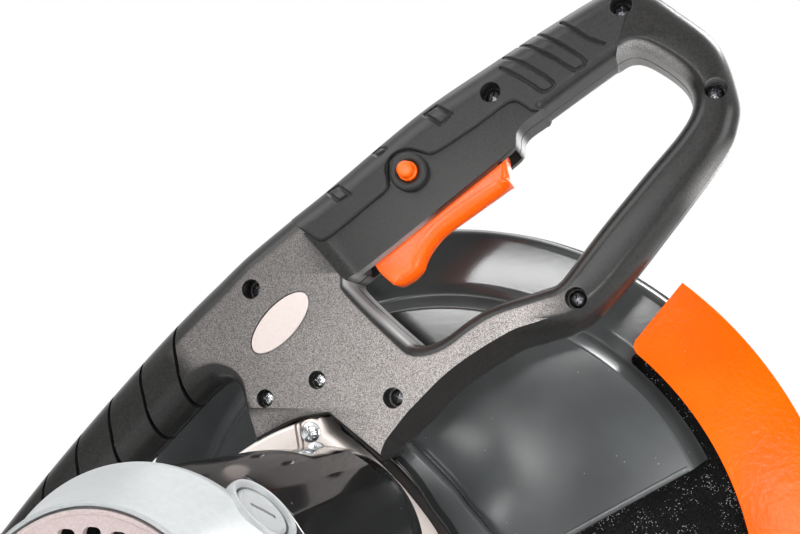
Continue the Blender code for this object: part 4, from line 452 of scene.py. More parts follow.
class Recipe:
    """A finish under construction: its material, its shader and the nodes that feed it."""

    def __init__(self, name, tree=None, **constants):
        self.name, self.tree = name, tree
        if tree is None:
            self.material = bpy.data.materials.new(name)
            self.material.use_nodes = True
            self.tree = self.material.node_tree
            self.shader = self.tree.nodes["Principled BSDF"]
            for key, value in constants.items():
                self.shader.inputs[key.replace("_", " ")].default_value = value
            self.place = self.node("TexCoord", {}, "Object")

    def node(self, kind, values, output=0, **settings):
        """A new node's output. Its values are wires or numbers, and a number for a colour is a grey."""
        made = self.tree.nodes.new("ShaderNode" + kind)
        for key, value in settings.items():
            setattr(made, key, value)
        for key, value in values.items():
            socket = made.inputs[key]
            if isinstance(value, Wire):
                self.tree.links.new(value.socket, socket)
            elif socket.type == "RGBA":
                socket.default_value = (*(value if isinstance(value, tuple) else (value,) * 3), 1)
            else:
                socket.default_value = value
        return Wire(self, made.outputs[output])

    def noise(self, size, detail=2.0, rough=0.5, place=None):
        """Clouds of a size in millimetres, from 0 to 1."""
        return self.node("TexNoise", {"Vector": place or self.place, "Scale": 1000 / size, "Detail": detail,
            "Roughness": rough})

    def cells(self, size, output=0):
        """Distance to scattered points that lie a size in millimetres apart."""
        return self.node("TexVoronoi", {"Vector": self.place, "Scale": 1000 / size}, output)

    def axis(self, name):
        """X, Y or Z of the place, in millimetres from the wheel's centre."""
        spot = self.node("SeparateXYZ", {0: self.place}, name)
        return (spot - float(CENTRE["XYZ".index(name)])) * 1000

    def facing(self, name):
        """How far the surface faces along an axis, from -1 to 1."""
        return self.node("SeparateXYZ", {0: self.node("NewGeometry", {}, "Normal")}, name)

    def stretched(self, x, y, z):
        """The place with each axis drawn out by a factor, centred on the wheel."""
        return self.node("Mapping", {"Vector": self.place, "Location": tuple(-CENTRE * (x, y, z)),
            "Scale": (x, y, z)})

    def mix(self, share, first, second):
        """The first colour at share 0, the second at share 1."""
        return self.node("Mix", {0: share, 6: first, 7: second}, 2, data_type="RGBA")

    def done(self, colour, rough, height, depth):
        """The material under its name, with a relief whose height times its depth is in millimetres."""
        relief = self.node("Bump", {"Height": height * (depth * MM), "Distance": 1.0})
        for wire, key in ((colour, "Base Color"), (rough, "Roughness"), (relief, "Normal")):
            self.tree.links.new(wire.socket, self.shader.inputs[key])
        FINISHES[self.name] = self.material
        return self.material


def moulded(name, dark, pale, rough, grain, depth, size=0.9, specular=0.5):
    """Textured plastic: two close greys in a fine grain, more rough where it is paler."""
    r = Recipe(name, IOR=1.46, Specular_IOR_Level=specular)
    fine = r.noise(size, 2, 0.6)
    broad = r.noise(38, 2)
    speck = fine.between(0.38, 0.66)
    return r.done(r.mix(speck * grain + broad * 0.15, dark, pale),
        rough + (fine - 0.5) * 0.22 + (broad - 0.5) * 0.08, fine, depth)


def face_grained():
    """The handle's shells: the plate's flat face is spark-textured and pale, the rest smooth and dark.

    The plate ends at a line across the panel's edge, under the D hole, and at the tube's first ring. As
    painted light, the wall above the plate and the top's underside are painted paler than the other walls,
    and the plate's colours darken from its lower right to its upper left as painted shade.
    """
    r = Recipe("handle_shell_black", IOR=1.5, Specular_IOR_Level=0.20)
    flat = abs(r.facing("Y")).between(0.95, 0.999)
    x, z = r.axis("X"), r.axis("Z")
    beside_panel = (x * 0.749 + z * 0.663).between(78, 75.5)
    under_hole = (z - x * 0.6).between(150, 138) * x.between(85, 50)
    tube_end = (x * 0.70 + z * 0.72).between(-12, 4)
    plate = beside_panel.most(under_hole) * tube_end
    sparks = r.noise(0.42, 2, 0.8)
    fine = r.noise(1.2, 2, 0.6)
    broad = r.noise(45, 2)
    # Painted shade: lean runs from 0 at the upper left to 1 at the lower right, and the plate's colours go
    # from dark to pale along it.
    lean = (x * 0.7 - z * 0.7).between(-190, -10)
    speck = (sparks * 0.85 + fine * 0.15).between(0.38, 0.64)
    mask = flat * plate
    smooth = r.mix(fine.between(0.3, 0.7), 0.014, (0.024, 0.023, 0.022))
    dark = r.mix(lean, (0.028, 0.026, 0.025), (0.105, 0.098, 0.094))
    pale = r.mix(lean, (0.190, 0.176, 0.170), (0.660, 0.612, 0.590))
    grainy = r.mix(speck * 0.9 + broad * 0.1, dark, pale)
    # Painted light: the hole's inner wall above the plate, facing right and up, is painted a paler grey as if
    # lit.
    painted_light_wall = (x * 0.75 + z * 0.66).between(72, 74.5) * x.between(12, 2)
    painted_light_wall = painted_light_wall * r.facing("X").between(0.35, 0.7)
    wall = r.mix(painted_light_wall * 0.8 * z.between(112, 128), smooth, 0.34)
    # Painted light: the top's underside inside the hole takes paler grainy colours as if lit by bounced
    # light.
    painted_light_under_top = (x * 0.75 + z * 0.66).between(215, 235) * r.facing("Z").between(-0.3, -0.7)
    wall = r.mix(painted_light_under_top * 0.8, wall, r.mix(speck, 0.12, (0.42, 0.41, 0.40)))
    return r.done(r.mix(mask, wall, grainy), 0.30 + mask * 0.25 + (fine - 0.5) * 0.12,
        sparks * mask + fine * 0.2, 0.07)


def gloss_paint(name, dark, pale, rough, peel=0.02, flake=None, specular=0.5, wall=None):
    """Painted sheet: an orange-peel relief, faint clouds of gloss, and fine dust and scuffs. A wall colour,
    where given, darkens faces that turn away from Y as painted shade.
    """
    r = Recipe(name, IOR=1.5, Specular_IOR_Level=specular)
    peel_clouds = r.noise(2.6, 2, 0.5)
    broad = r.noise(60, 3)
    fine = r.noise(0.8, 2, 0.7)
    dust = r.cells(4.5).between(0.11, 0.05) * r.noise(22, 2).between(0.52, 0.66)
    colour = r.mix(broad.between(0.3, 0.7), dark, pale)
    if flake:
        colour = r.mix(fine.between(0.60, 0.80) * 0.6, colour, flake)
    # Painted shade: faces turning away from Y, such as the orange guard's outer wall, are darkened towards
    # the wall colour.
    if wall:
        colour = r.mix(abs(r.facing("Y")).between(0.75, 0.45) * 0.8, colour, wall)
    return r.done(r.mix(dust * 0.14, colour, (0.55, 0.56, 0.56)),
        rough + (broad - 0.5) * 0.10 + dust * 0.25, peel_clouds + fine * 0.15, peel)


def cast_metal(name, dark, pale, rough, metal):
    """Bare casting: grainy skin, cloudy tone and a few pits."""
    r = Recipe(name, Metallic=metal)
    fine = r.noise(0.9, 3, 0.6)
    broad = r.noise(25, 3)
    pits = r.cells(5).between(0.09, 0.03)
    colour = r.mix(fine * 0.5 + broad * 0.5, dark, pale)
    return r.done(r.mix(pits * 0.5, colour, 0.10), rough + (fine - 0.5) * 0.25 + (broad - 0.5) * 0.1,
        fine - pits * 0.6, 0.06)


def steel_finish(name, dark, pale, rough):
    """Turned or ground steel: fine lines drawn out along one direction."""
    r = Recipe(name, Metallic=1.0)
    lines = r.noise(1.6, 3, 0.6, place=r.stretched(1, 14, 1))
    broad = r.noise(12, 2)
    return r.done(r.mix(lines * 0.6 + broad * 0.4, dark, pale),
        rough + (lines - 0.5) * 0.2 + (broad - 0.5) * 0.12, lines, 0.01)


def abrasive_finish():
    """Resin-bonded grit: black with scattered fine grains painted near-white as glints, and a paler worn rim.
    """
    r = Recipe("abrasive_grit", IOR=1.5, Specular_IOR_Level=0.12)
    x, z = r.axis("X"), r.axis("Z")
    worn = ((x * x + z * z) ** 0.5).between(171, 177.4)
    grit = r.cells(0.62, "Distance")
    chance = r.node("SeparateColor", {0: r.cells(0.62, "Color")})
    clusters = r.noise(14, 3, 0.6)
    # Painted glints: scattered grains in clusters are coloured near-white, and are also less rough.
    painted_glint = grit.between(0.40, 0.20) * (chance + (clusters - 0.5) * 1.3).between(0.86, 1)
    base = r.mix(r.noise(0.9, 2, 0.7).between(0.3, 0.7), 0.002, 0.012)
    colour = r.mix(painted_glint, base, (0.80, 0.80, 0.79))
    return r.done(r.mix(worn * 0.4, colour, (0.12, 0.11, 0.10)), 0.8 - painted_glint * 0.4, grit, 0.16)


def wound_finish(name, dark, pale):
    """Enamelled wire, as lines along Y."""
    r = Recipe(name, Metallic=0.7)
    lines = r.noise(1.2, 2, place=r.stretched(1, 0.05, 1))
    return r.done(r.mix(lines, dark, pale), 0.38 + lines * 0.1, lines, 0.1)


moulded("soft_grip", 0.018, 0.036, 0.36, 0.5, 0.02, specular=0.22)
moulded("orange_plastic", (0.90, 0.098, 0.001), (0.94, 0.130, 0.003), 0.30, 0.5, 0.008, specular=0.40)
gloss_paint("guard_paint", (0.040, 0.043, 0.044), (0.066, 0.071, 0.072), 0.17)
# Its wall colour is painted shade on the orange guard's outer wall.
gloss_paint("orange_paint", (0.80, 0.088, 0), (0.84, 0.118, 0), 0.20, 0.16, (0.92, 0.19, 0.004),
            specular=0.06, wall=(0.50, 0.06, 0.002))
gloss_paint("base_paint", (0.030, 0.033, 0.036), (0.052, 0.056, 0.060), 0.42, 0.05)
gloss_paint("gloss_black", 0.006, 0.011, 0.10, 0.010)
moulded("pale_plastic", (0.50, 0.49, 0.48), (0.62, 0.61, 0.60), 0.30, 0.4, 0.01)
moulded("end_cap_grey", (0.27, 0.283, 0.288), (0.35, 0.363, 0.368), 0.34, 0.25, 0.004, size=2.5)
moulded("vent_plastic", (0.33, 0.27, 0.265), (0.44, 0.37, 0.36), 0.36, 0.4, 0.01)
moulded("badge_finish", (0.54, 0.465, 0.44), (0.63, 0.56, 0.53), 0.34, 0.3, 0.004)
cast_metal("cast_aluminium", (0.72, 0.645, 0.60), (0.86, 0.785, 0.735), 0.34, 0.15)
cast_metal("arm_aluminium", 0.26, (0.40, 0.40, 0.395), 0.46, 0.7)
cast_metal("black_casting", (0.035, 0.036, 0.038), (0.075, 0.077, 0.08), 0.45, 0.85)
steel_finish("steel", (0.50, 0.51, 0.52), (0.74, 0.75, 0.76), 0.24)
steel_finish("dark_steel", (0.10, 0.10, 0.11), (0.22, 0.22, 0.23), 0.38)
moulded("rubber", 0.012, 0.030, 0.78, 0.6, 0.06)
wound_finish("copper", (0.45, 0.18, 0.08), (0.80, 0.42, 0.22))
wound_finish("wound_core", (0.25, 0.12, 0.07), (0.55, 0.30, 0.18))
moulded("carbon", (0.020, 0.020, 0.021), (0.050, 0.050, 0.052), 0.5, 0.5, 0.02)
FINISHES["shell_plastic"] = face_grained()
FINISHES["abrasive"] = abrasive_finish()
for node, slot_name in NODE_SLOT.items():
    slots = NODES[node].material_slots
    if slots:
        slots[0].material = FINISHES[slot_name]
    else:
        NODES[node].data.materials.append(FINISHES[slot_name])


# Camera, floor and light

camera = add_object("camera", bpy.data.cameras.new("camera"))
camera.data.lens = 42.75
camera.data.sensor_width = 36
camera.location = (0.08235, -0.449, 0.4464)
camera.rotation_euler = (math.radians(96.307), 0, math.radians(16.60))
bpy.context.scene.camera = camera

# Where the floor starts and ends its fade, in millimetres from the wheel's axis
FADE = (500, 1500)
# Each lamp's name, place in metres, height over the origin that it looks at, width, length and watts
LAMPS = [("key_lamp", (-1.1, -1.1, 1.7), 0.4, 1.4, 1, 24),
    ("right_lamp", (1.45, -0.6, 0.45), 0.4, 0.9, 0.8, 17),
    ("low_lamp", (0.27, -1.45, 0.15), 0.4, 0.16, 0.09, 5.5),
    ("front_lamp", (-0.22, -1.55, 0.74), 0.4, 0.66, 0.17, 7.5),
    ("patch_lamp", (-0.24, -1.45, 0.30), 0.4, 0.14, 0.08, 0.5),
    ("corner_lamp", (1.1, 0.75, 1.9), 0.4, 0.7, 0.7, 40), ("top_lamp", (-0.2, 0.5, 1.9), 0.4, 1.3, 1, 12),
    ("back_lamp", (0.6, 1.6, 1.1), 0.3, 1.4, 1, 12)]
for name, place, target, wide, tall, power in LAMPS:
    lamp = add_object(name, bpy.data.lights.new(name, "AREA"))
    lamp.data.shape = "RECTANGLE"
    lamp.data.size, lamp.data.size_y = wide, tall
    lamp.data.energy = power
    lamp.location = place
    lamp.rotation_euler = (Vector((0, 0, target)) - Vector(place)).to_track_quat("-Z", "Y").to_euler()


def ray_masks(r):
    """1 where the camera or glass sees the surface straight away, and 1 where a mirror does."""
    seen, through, mirrored = (r.node("LightPath", {}, f"Is {kind} Ray")
        for kind in ("Camera", "Transmission", "Glossy"))
    return seen.most(through), mirrored


def build_world():
    """White for the camera and glass, a level grey for diffuse light, and for mirrors white above and behind
    the machine that darkens towards the front."""
    world = bpy.data.worlds.new("studio")
    world.use_nodes = True
    bpy.context.scene.world = world
    r = Recipe("sky_recipe", tree=world.node_tree)
    seen, mirrored = ray_masks(r)
    x, y, z = (r.node("SeparateXYZ", {0: r.node("TexCoord", {}, "Generated")}, name)
               for name in "XYZ")
    bright = z.between(0.10, 0.62).most((y + z * 0.4).between(0.05, 0.65)).most(x.between(0.75, 1) * 0.6)
    level = mirrored * (0.10 + bright) + (1 - mirrored) * 0.42
    level = seen + (1 - seen) * level
    background = r.tree.nodes["Background"]
    r.tree.links.new(level.socket, background.inputs["Strength"])
    background.inputs["Color"].default_value = (1, 1, 1, 1)


def build_floor():
    """A flat disc at the height of the feet. Its far part fades to white for the camera."""
    rings = np.array([0.001, 0.4, 0.8, 1.2, 2, 4, 8]) * 1000
    turn = np.radians(np.arange(0, 360, 5))
    x, z = np.cos(turn)[:, None] * rings[None], np.sin(turn)[:, None] * rings[None]
    points = np.stack([x, z, np.full_like(x, -CENTRE[2] / MM)], -1)
    n, m = x.shape
    floor = make("floor", [(points, lattice(n, m, True, False) + [tuple(range(0, n * m, m))])], weld=0.0001)
    r = Recipe("pale_floor", Roughness=0.9)
    x, y = r.axis("X"), r.axis("Y")
    far = ((x * x + y * y) ** 0.5).between(*FADE)
    colour = r.mix(r.noise(90, 2), 0.80, 0.84)
    r.tree.links.new(colour.socket, r.shader.inputs["Base Color"])
    glow = r.node("Emission", {"Color": 1, "Strength": 1.0})
    mixed = r.node("MixShader", {0: far * ray_masks(r)[0], 1: Wire(r, r.shader.outputs[0]), 2: glow})
    r.tree.links.new(mixed.socket, r.tree.nodes["Material Output"].inputs["Surface"])
    floor.data.materials.append(r.material)


build_world()
build_floor()
bpy.context.scene.view_settings.view_transform = "Standard"


# The handle

def handle_line():
    """The handle's outline at its parting plane: bend, top and bow, the plate's foot and the tube."""
    outer = arc(BEND, BEND_OUTER, BEND_START, BEND_END, 40)
    inner = arc(BEND, BEND_OUTER - TUBE_DEEP, BEND_END, BEND_START, 30)
    top = smooth_line([outer[-1], *HANDLE_TOP], 2)
    foot = smooth_line(HANDLE_FOOT, 2)
    low = smooth_line([*HANDLE_LOW, inner[0]], 2)
    return np.concatenate([outer[:-1], top, foot, low[:-1], inner])


# Place, width of the round in the outline's plane, its depth along Y, and how straight it is
ROUNDS = [(-258, -120, 15.5, 17.2, 0), (-246, 17, 15.5, 17.2, 0), (-134.8, 136.9, 15.5, 17.2, 0),
    (-112, 157, 15.5, 17, 0), (-96, 170.4, 13, 15, 0), (-51, 205, 15, 16, 0), (20, 256, 15, 16, 0),
    (68, 282, 14, 15, 0), (92, 294, 13, 14, 0), (104.5, 298.5, 11, 13, 0), (131, 282, 10, 12, 0),
    (156.7, 238, 10, 12, 0), (149, 208, 10, 12, 0), (123, 173.7, 10, 13, 0), (99, 144, 10, 14, 0),
    (82, 129, 10, 15, 0.3), (65, 123.5, 10, 16.5, 0.7), (50, 118.7, 9.5, 17, 0.9),
    (24.7, 102.9, 9.5, 17, 1), (3.9, 83.3, 9.5, 17, 1), (-12, 69, 6, 17, 1), (-20, 69, 1.2, 3, 0.5),
    (-44, 88.5, 1, 1.2, 0.5), (-84, 74.3, 1, 1.2, 0.5), (-90, 90.5, 1.6, 3, 0.5), (-97, 102.5, 6, 10, 0),
    (-108, 103, 14, 16.5, 0), (-120, 95, 15.5, 17.2, 0), (-187, 28.6, 15.5, 17.2, 0),
    (-236, -60, 15.5, 17.2, 0)]
HOLE_ROUNDS = [(2, 122.3, 7, 8, 0), (40, 141.7, 6.5, 8, 0), (75, 156, 6.5, 9, 0), (112, 202, 7, 10, 0),
    (135.6, 234, 7, 10, 0), (110, 263.5, 5, 8, 0), (90, 254, 1.6, 2.5, 0), (64, 237, 1.6, 2.5, 0),
    (49, 219, 3, 5, 0), (0, 180, 3, 5, 0), (-32, 157, 4.5, 6, 0), (-24, 143, 5.5, 7, 0)]


def rounded_walls(line, marks, side, inwards=1):
    """Rings from the parting plane to the face, drawn in along the line's normals.

    The round is a quarter of an ellipse: drawn in by width times one less the cosine, and raised by depth
    times the sine. A straight share blends it into a flat slope. The width is held below nine tenths of the
    largest circle that fits at each point, so that the rings can't cross.
    """
    normal = inward(line) * inwards
    width, depth, straight = widths_along(line, marks).T
    width = held(width, line, normal, 6, 0.5, 0.88)
    for _ in range(4):
        width = (np.roll(width, 1) + 2 * width + np.roll(width, -1)) / 4
    face = HANDLE_NEAR if side < 0 else HANDLE_FAR
    rings = [drawn_in(line, normal, inset, PARTING + side * back)
             for inset, back in ((0.45, 0.15), (0.45, 0.45), (0, 0.75))]
    for turn in np.linspace(0, math.pi / 2, 10):
        share = turn / (math.pi / 2)
        draw = width * ((1 - straight) * (1 - math.cos(turn)) + straight * share)
        rise = (1 - straight) * math.sin(turn) + straight * share
        rings.append(drawn_in(line, normal, draw, face - side * depth * (1 - rise)))
    return np.stack(rings)


def handle_half(name, side):
    """One half of the handle: its outer walls, the hole's walls, its face and its parting face."""
    hole_line = smooth_line([*HOLE_UNDER, *HOLE_OVER], 2, closed=True)
    walls = [rounded_walls(handle_line(), ROUNDS, side), rounded_walls(hole_line, HOLE_ROUNDS, side, -1)]
    parts = [(wall, lattice(*wall.shape[:2])) for wall in walls]
    for level in (-1, 0):
        parts.append((np.concatenate([wall[level] for wall in walls]),
            fill([wall[level][:, [0, 2]] for wall in walls]).tolist()))
    return make(name, parts, "shell_plastic", angle=40)


# Ends of the rings cut into the tube, at its upper and its lower edge
GROOVES = [((-135.8, 139.1), (-125.4, 94.3)), ((-155.7, 117.1), (-141.9, 71.9)),
    ((-174.1, 99.4), (-163.1, 55.7)), ((-193.3, 79.2), (-184, 37)), ((-212.7, 58.2), (-206, 16))]
# Rim of the sunk panel under the grip. Its first two points lie on the edge that slopes.
PANEL_ROOM = [(-58, 181), (-31, 150.5), (-18, 148), (0, 165), (41, 200), (56, 218), (68, 233), (67, 240),
    (60, 246), (48, 250), (20, 240), (0, 234), (-20, 222), (-45, 200)]
PANEL_DEEP = 2.6
PANEL_SLOPE = 6.5


def box_round(middle, along, ends):
    """Corners at shares of a direction and of the one square to it, anticlockwise of it."""
    across = np.array([-along[1], along[0]])
    return [middle + along * a + across * b for a, b in ends]


def groove_form(top, bottom):
    """A box 2 mm thick through two points of the handle's outline plane, longer than the tube is deep."""
    top, bottom = np.array(top, float), np.array(bottom, float)
    along = (top - bottom) / np.linalg.norm(top - bottom)
    box = box_round((top + bottom) / 2, along, ((30, 1), (30, -1), (-30, -1), (-30, 1)))
    return prism(box, CUT_NEAR, CUT_FAR)


def leaned(line, degrees):
    """A line turned about the origin by an angle."""
    c, s = math.cos(math.radians(degrees)), math.sin(math.radians(degrees))
    return line @ np.array([[c, s], [-s, c]])


def oval_line(long, wide):
    """The plate's oval: long cos t along a 45 degree lean, wide sin t across it."""
    turn = np.radians(np.arange(0, 360, 3))
    return leaned(np.stack([long * np.cos(turn), wide * np.sin(turn)], 1), 45) + np.array(BADGE)


def panel_form():
    """The panel's room: the rim carried along Y, with its first edge drawn in by the slope at the floor."""
    rim = np.array(PANEL_ROOM)
    edge = rim[1] - rim[0]
    shift = np.zeros(rim.shape)
    shift[:2] = np.array([-edge[1], edge[0]]) / np.linalg.norm(edge) * PANEL_SLOPE
    deep = PANEL_DEEP
    levels = [(-8, -1), (-0.02, -0.12), (deep * 0.30, 0.1), (deep * 0.72, 0.45), (deep * 0.94, 0.8),
        (deep, 1.1)]
    rings = [np.insert(rim + shift * share, 1, HANDLE_NEAR + y, axis=1) for y, share in levels]
    return skin(np.stack(rings), True)


def screw_holes(numbers):
    """Recesses of the handle's screws, by their numbers in the list."""
    return [hole(HANDLE_SCREWS[i], 5.2, HANDLE_NEAR + 11) for i in numbers]


def build_handle():
    """Both halves, cut for the grip, trigger, tab, rings, screws, button, panel and oval plate."""
    grip_room = [*PANEL_EDGE, (66.5, 236.5), (72, 239), (86, 248), (100.9, 258), (100.9, 260.6),
        (111.3, 296.2), (112.6, 330), (60, 330), (-90, 230)]
    tip = at_angle(BEND, TUBE_MIDDLE, BEND_START)
    along, across = at_angle(SPINDLE, 1, BEND_START + 90), at_angle(SPINDLE, 1, BEND_START)
    lug = [tip + along * a + across * b for a, b in ((-16, 15), (16, 15), (16, -15), (-16, -15))]
    tab_room = np.array(TAB) + [[0, -1], [1, -1], [1, 0], [0, 1], [-1, 1]]
    for side, far_end in ((-1, "near"), (1, "far")):
        forms = [prism(grip_room, CUT_NEAR, CUT_FAR), prism(TRIGGER_ROOM, -76.8, -58.2),
            prism(tab_room, -72.8, -62.2), hole(tip, 3.4, CUT_FAR), prism(lug, -73.8, -61.2),
            *(groove_form(*ends) for ends in GROOVES)]
        if side < 0:
            forms += [*screw_holes(range(6)), *(hole(place, 4.7, HANDLE_NEAR + 6) for place in TAB_BOLTS),
                      hole(BUTTON, 5.1, -71.5), panel_form(),
                      prism(oval_line(20.9, 9.7), CUT_NEAR, HANDLE_NEAR + 0.8)]
        half = handle_half(f"handle_{far_end}", side)
        carve(half, *([form] for form in forms), angle=38)
        fitted(half, f"handle_shell_{far_end}")
    core = [*arc(BEND, TUBE_MIDDLE, 150, BEND_END, 6), (-190, 51.5), (-160, 83), (-128, 114.5),
        (-116, 126.5)]
    path = np.insert(smooth_line(core, 4), 1, PARTING, axis=1)
    piece("tube_core", [tube(path, 15.9, 48)], "gloss_black", angle=50)


build_handle()


# The soft grip, with the lines of its sunk marks and of the raised bars between them

GRIP_MARKS = [[(-47.6, 202.5), (-39.3, 196.3), (-33.3, 199.6), (-41.5, 205.3), (-47.6, 202.5)],
    [(-23.1, 222), (-18.8, 219.1), (-14.5, 222.5), (-19.3, 224.4), (-23.1, 222)], [(5.3, 239.4),
    (14.7, 232.5), (20.4, 237.2), (11.6, 243.1), (5.3, 239.4)], [(45.7, 265.7), (55.8, 260.8), (66.8, 253),
    (71.2, 249), (71.4, 247.5), (69.2, 245.6), (66.2, 244.9), (64.2, 246.1), (59.2, 250.1), (53.2, 254.3),
    (45, 259.4)], [(59, 278.5), (69.1, 272), (78, 265.9), (84.8, 260.6), (86.9, 257.8), (86.1, 256.4),
    (81.7, 254.2), (77.8, 256.6), (72.9, 260.7), (65, 265.6), (59, 269.3), (50, 273)], [(75, 280),
    (88.4, 269.5), (95.6, 266.2)]]
GRIP_BARS = [[(56, 256.6), (67.4, 249)], [(71.2, 266), (83, 258.2)]]


def distance_to(points, lines):
    """Shortest distance of each point to any stretch of the lines."""
    best = np.full(points.shape[:-1], 1e9)
    for line in lines:
        line = np.array(line, float)
        for a, b in zip(line[:-1], line[1:]):
            along = b - a
            t = np.clip(((points - a) @ along) / (along @ along), 0, 1)
            best = np.minimum(best, np.linalg.norm(points - (a + t[..., None] * along), axis=-1))
    return best


def part_of(line, start, end, count):
    """The stretch of a line between the points nearest to start and end, evenly spaced."""
    first, last = (np.linalg.norm(line - np.array(place), axis=1).argmin() for place in (start, end))
    return spread(line[first:last + 1], count)


def edge_drop(distance, width, depth):
    """An elliptic round: depth times one less the root of 1 - (1 - distance / width)^2, 0 past its width."""
    return depth * (1 - np.sqrt(np.clip(1 - np.clip(1 - distance / width, 0, 1) ** 2, 0, 1)))


def build_grip():
    """The overmould as sections from the top's outline down to the groove, round on both edges.

    Of the drops from the edges the largest counts. The marks are sunk, and the bars between them raised,
    where the distance to their lines is under their half width.
    """
    outline = smooth_line([at_angle(BEND, BEND_OUTER, BEND_END), *HANDLE_TOP], 0.5)
    groove = smooth_line([*PANEL_EDGE, (66.5, 238)], 0.4)
    hole_edge = smooth_line([(66.5, 238), (80, 246.9), (101, 260.6)], 0.4)
    low = np.concatenate([groove[:-1], hole_edge])
    for side, step, face in ((-1, 0.5, HANDLE_NEAR), (1, 1.1, HANDLE_FAR)):
        count, across = int(250 / step), int(44 / step)
        top = part_of(outline, (-70, 190), (111.5, 296), count)
        foot = part_of(low, (-65.3, 187.6), (101, 260.6), count)
        share = np.linspace(0, 1, across)
        share = share - 0.13 * np.sin(2 * math.pi * share) * (1 - share)
        plane = top[:, None] + share[None, :, None] * (foot - top)[:, None]
        run = np.linspace(0, 1, count)[:, None]
        width = np.interp(run, [0, 0.1, 0.3, 0.8, 1], [13, 15, 15, 14, 11.5])
        depth = np.interp(run, [0, 0.1, 0.8, 1], [15, 16, 15, 13])
        rise = np.maximum(edge_drop(distance_to(plane, [outline[::4]]), width, depth),
            1.1 * np.clip(1 - distance_to(plane, [groove[::3]]) / 1.5, 0, 1) ** 2)
        rise = np.maximum(rise, edge_drop(distance_to(plane, [hole_edge[::3]]), 5, 8))
        rise = rise + 1.3 * np.clip((0.95 - distance_to(plane, GRIP_MARKS)) / 0.45, 0, 1)
        rise = rise - 0.8 * np.clip((2.3 - distance_to(plane, GRIP_BARS)) / 1.2, 0, 1)
        grid = np.stack([plane[..., 0], face - side * np.clip(rise, 0, 17.6), plane[..., 1]], -1)
        edge, wall = (grid[:, at] * [1, 0, 1] + [0, PARTING + side * 0.25, 0]
            for at in (slice(1), slice(-1, None)))
        grip = make(f"grip_{'near' if side < 0 else 'far'}", [skin(np.concatenate([edge, grid, wall], 1))],
            "soft_grip", angle=50)
        if side < 0:
            carve(grip, *([form] for form in screw_holes((0, 2))), angle=50)
        fitted(grip, "grip_overmould")


build_grip()


# Screws, trigger, button, collar and badge

def cushion(line, marks, near, far):
    """A flat body with rounded edges: rings from one face over the edge to the other, both faces filled.

    Each mark gives a place on the outline, the round's width and its depth along Y.
    """
    line = np.asarray(line, float)
    normal = inward(line)
    width, depth = widths_along(line, marks).T
    width = held(width, line, normal, 5, 0.3, 0.85)
    turns = np.linspace(0, math.pi / 2, 9)
    rings = []
    for face, side, angles in ((near, 1, turns[::-1]), (far, -1, turns)):
        for turn in angles:
            draw = width * (1 - math.cos(turn))
            rings.append(drawn_in(line, normal, draw, face + side * depth * (1 - math.sin(turn))))
    return skin(np.stack(rings), True)


def closed_even(points):
    """Points a millimetre apart round an outline of straight sides."""
    return even(np.array([*points, points[0]]), 1, True)


def build_fittings():
    """Trigger, button with its collar, oval plate and the screws in their recesses."""
    line = np.concatenate([smooth_line(TRIGGER_LINE, 0.7), TRIGGER_BACK, [TRIGGER_LINE[0]]])
    line = even(line, 0.7, True)
    marks = [(46.3, 210.7, 3, 4), (46.1, 201.4, 6, 7.5), (30, 190, 7.5, 8.6), (14, 179.6, 8, 8.6),
             (2.9, 165.9, 7, 8), (-8, 153.8, 6, 7.5), (-14.5, 155, 1.2, 1.2), (-23, 164, 0.8, 0.8),
             (0, 190, 0.8, 0.8), (42, 222, 2, 2)]
    piece("trigger_blade", [cushion(line, marks, -76.5, -58.5)], "orange_plastic", "trigger", angle=45)
    button = turned([(0.001, -95, 0), (4.2, -95, 2.4), (4.2, -89.4, 0.2), (5, -88.9, 0.5), (5, -77.2, 0.2),
        (0.001, -77, 0)], 8, BUTTON, 48)
    piece("lock_button", [button], "orange_plastic", "lock_off_button", angle=50)
    collar = turned([(5.35, -83, 0), (9.8, -83, 0), (9.8, -87, 0.3), (9, -88.2, 0.8), (6.4, -88.2, 0.8),
        (5.35, -87.2, 0.3)], 4, BUTTON)
    piece("lock_button_collar", [collar], "soft_grip", "button_collar", angle=40)
    oval = oval_line(20.2, 9)
    piece("oval_plate", [cushion(oval, [(*oval[0], 0.8, 0.5)], -85.95, -84.8)], "badge_finish",
        "badge_plate", angle=50)
    heads = [aligned(screw_head(4.1, 2.6), (x, HANDLE_NEAR + 11.05, z), up=(math.sin(i), 0, math.cos(i)))
             for i, (x, z) in enumerate(HANDLE_SCREWS)]
    piece("handle_screws", heads, "dark_steel", angle=60)
    heads = [aligned(screw_head(4, 2.4), (x, HANDLE_NEAR + 6.05, z)) for x, z in TAB_BOLTS]
    piece("tab_screws", heads, "steel", angle=60)
    heads = [aligned(screw_head(5.2, 2.6), (POST[0], -84.6, POST[1])),
             aligned(screw_head(4.6, 2.6), (-48.7, -90, 70.5), (-0.25, 1, -0.15))]
    piece("gear_case_screws", heads, "steel", angle=60)


build_fittings()


# Guards and wheel. The fixed guard is pressed from 2 mm sheet. Radii are from the spindle, angles in degrees.

BOSS = [(-8.8, 69), (9, 52), (18.5, 40.7), (26.5, 32), (38, 17.5), (41.8, -3), (35.5, -24.5), (14, -40.5),
    (-16, -47), (-48, -50), (-82, -42), (-106, -18), (-116, 10), (-114, 40), (-102, 64), (-80, 83),
    (-52, 90), (-26, 83)]
KEEP = 60
PLATEAU_EDGE, STEP_FOOT, STEP_END = 144.4, 152.4, 158.5
RIM, COVER_RIM = 190, 193.3
SLOT_INNER, SLOT_OUTER, SLOT_END = 152.6, 159.6, 47.7
SWING_INNER, SWING_OUTER, SWING_BORE = 158.2, 200.9, 44.3
SWING_START, SWING_SWEEP = -45, 95.3
WHEEL_RADIUS, WHEEL_HALF = 177.5, 1.5


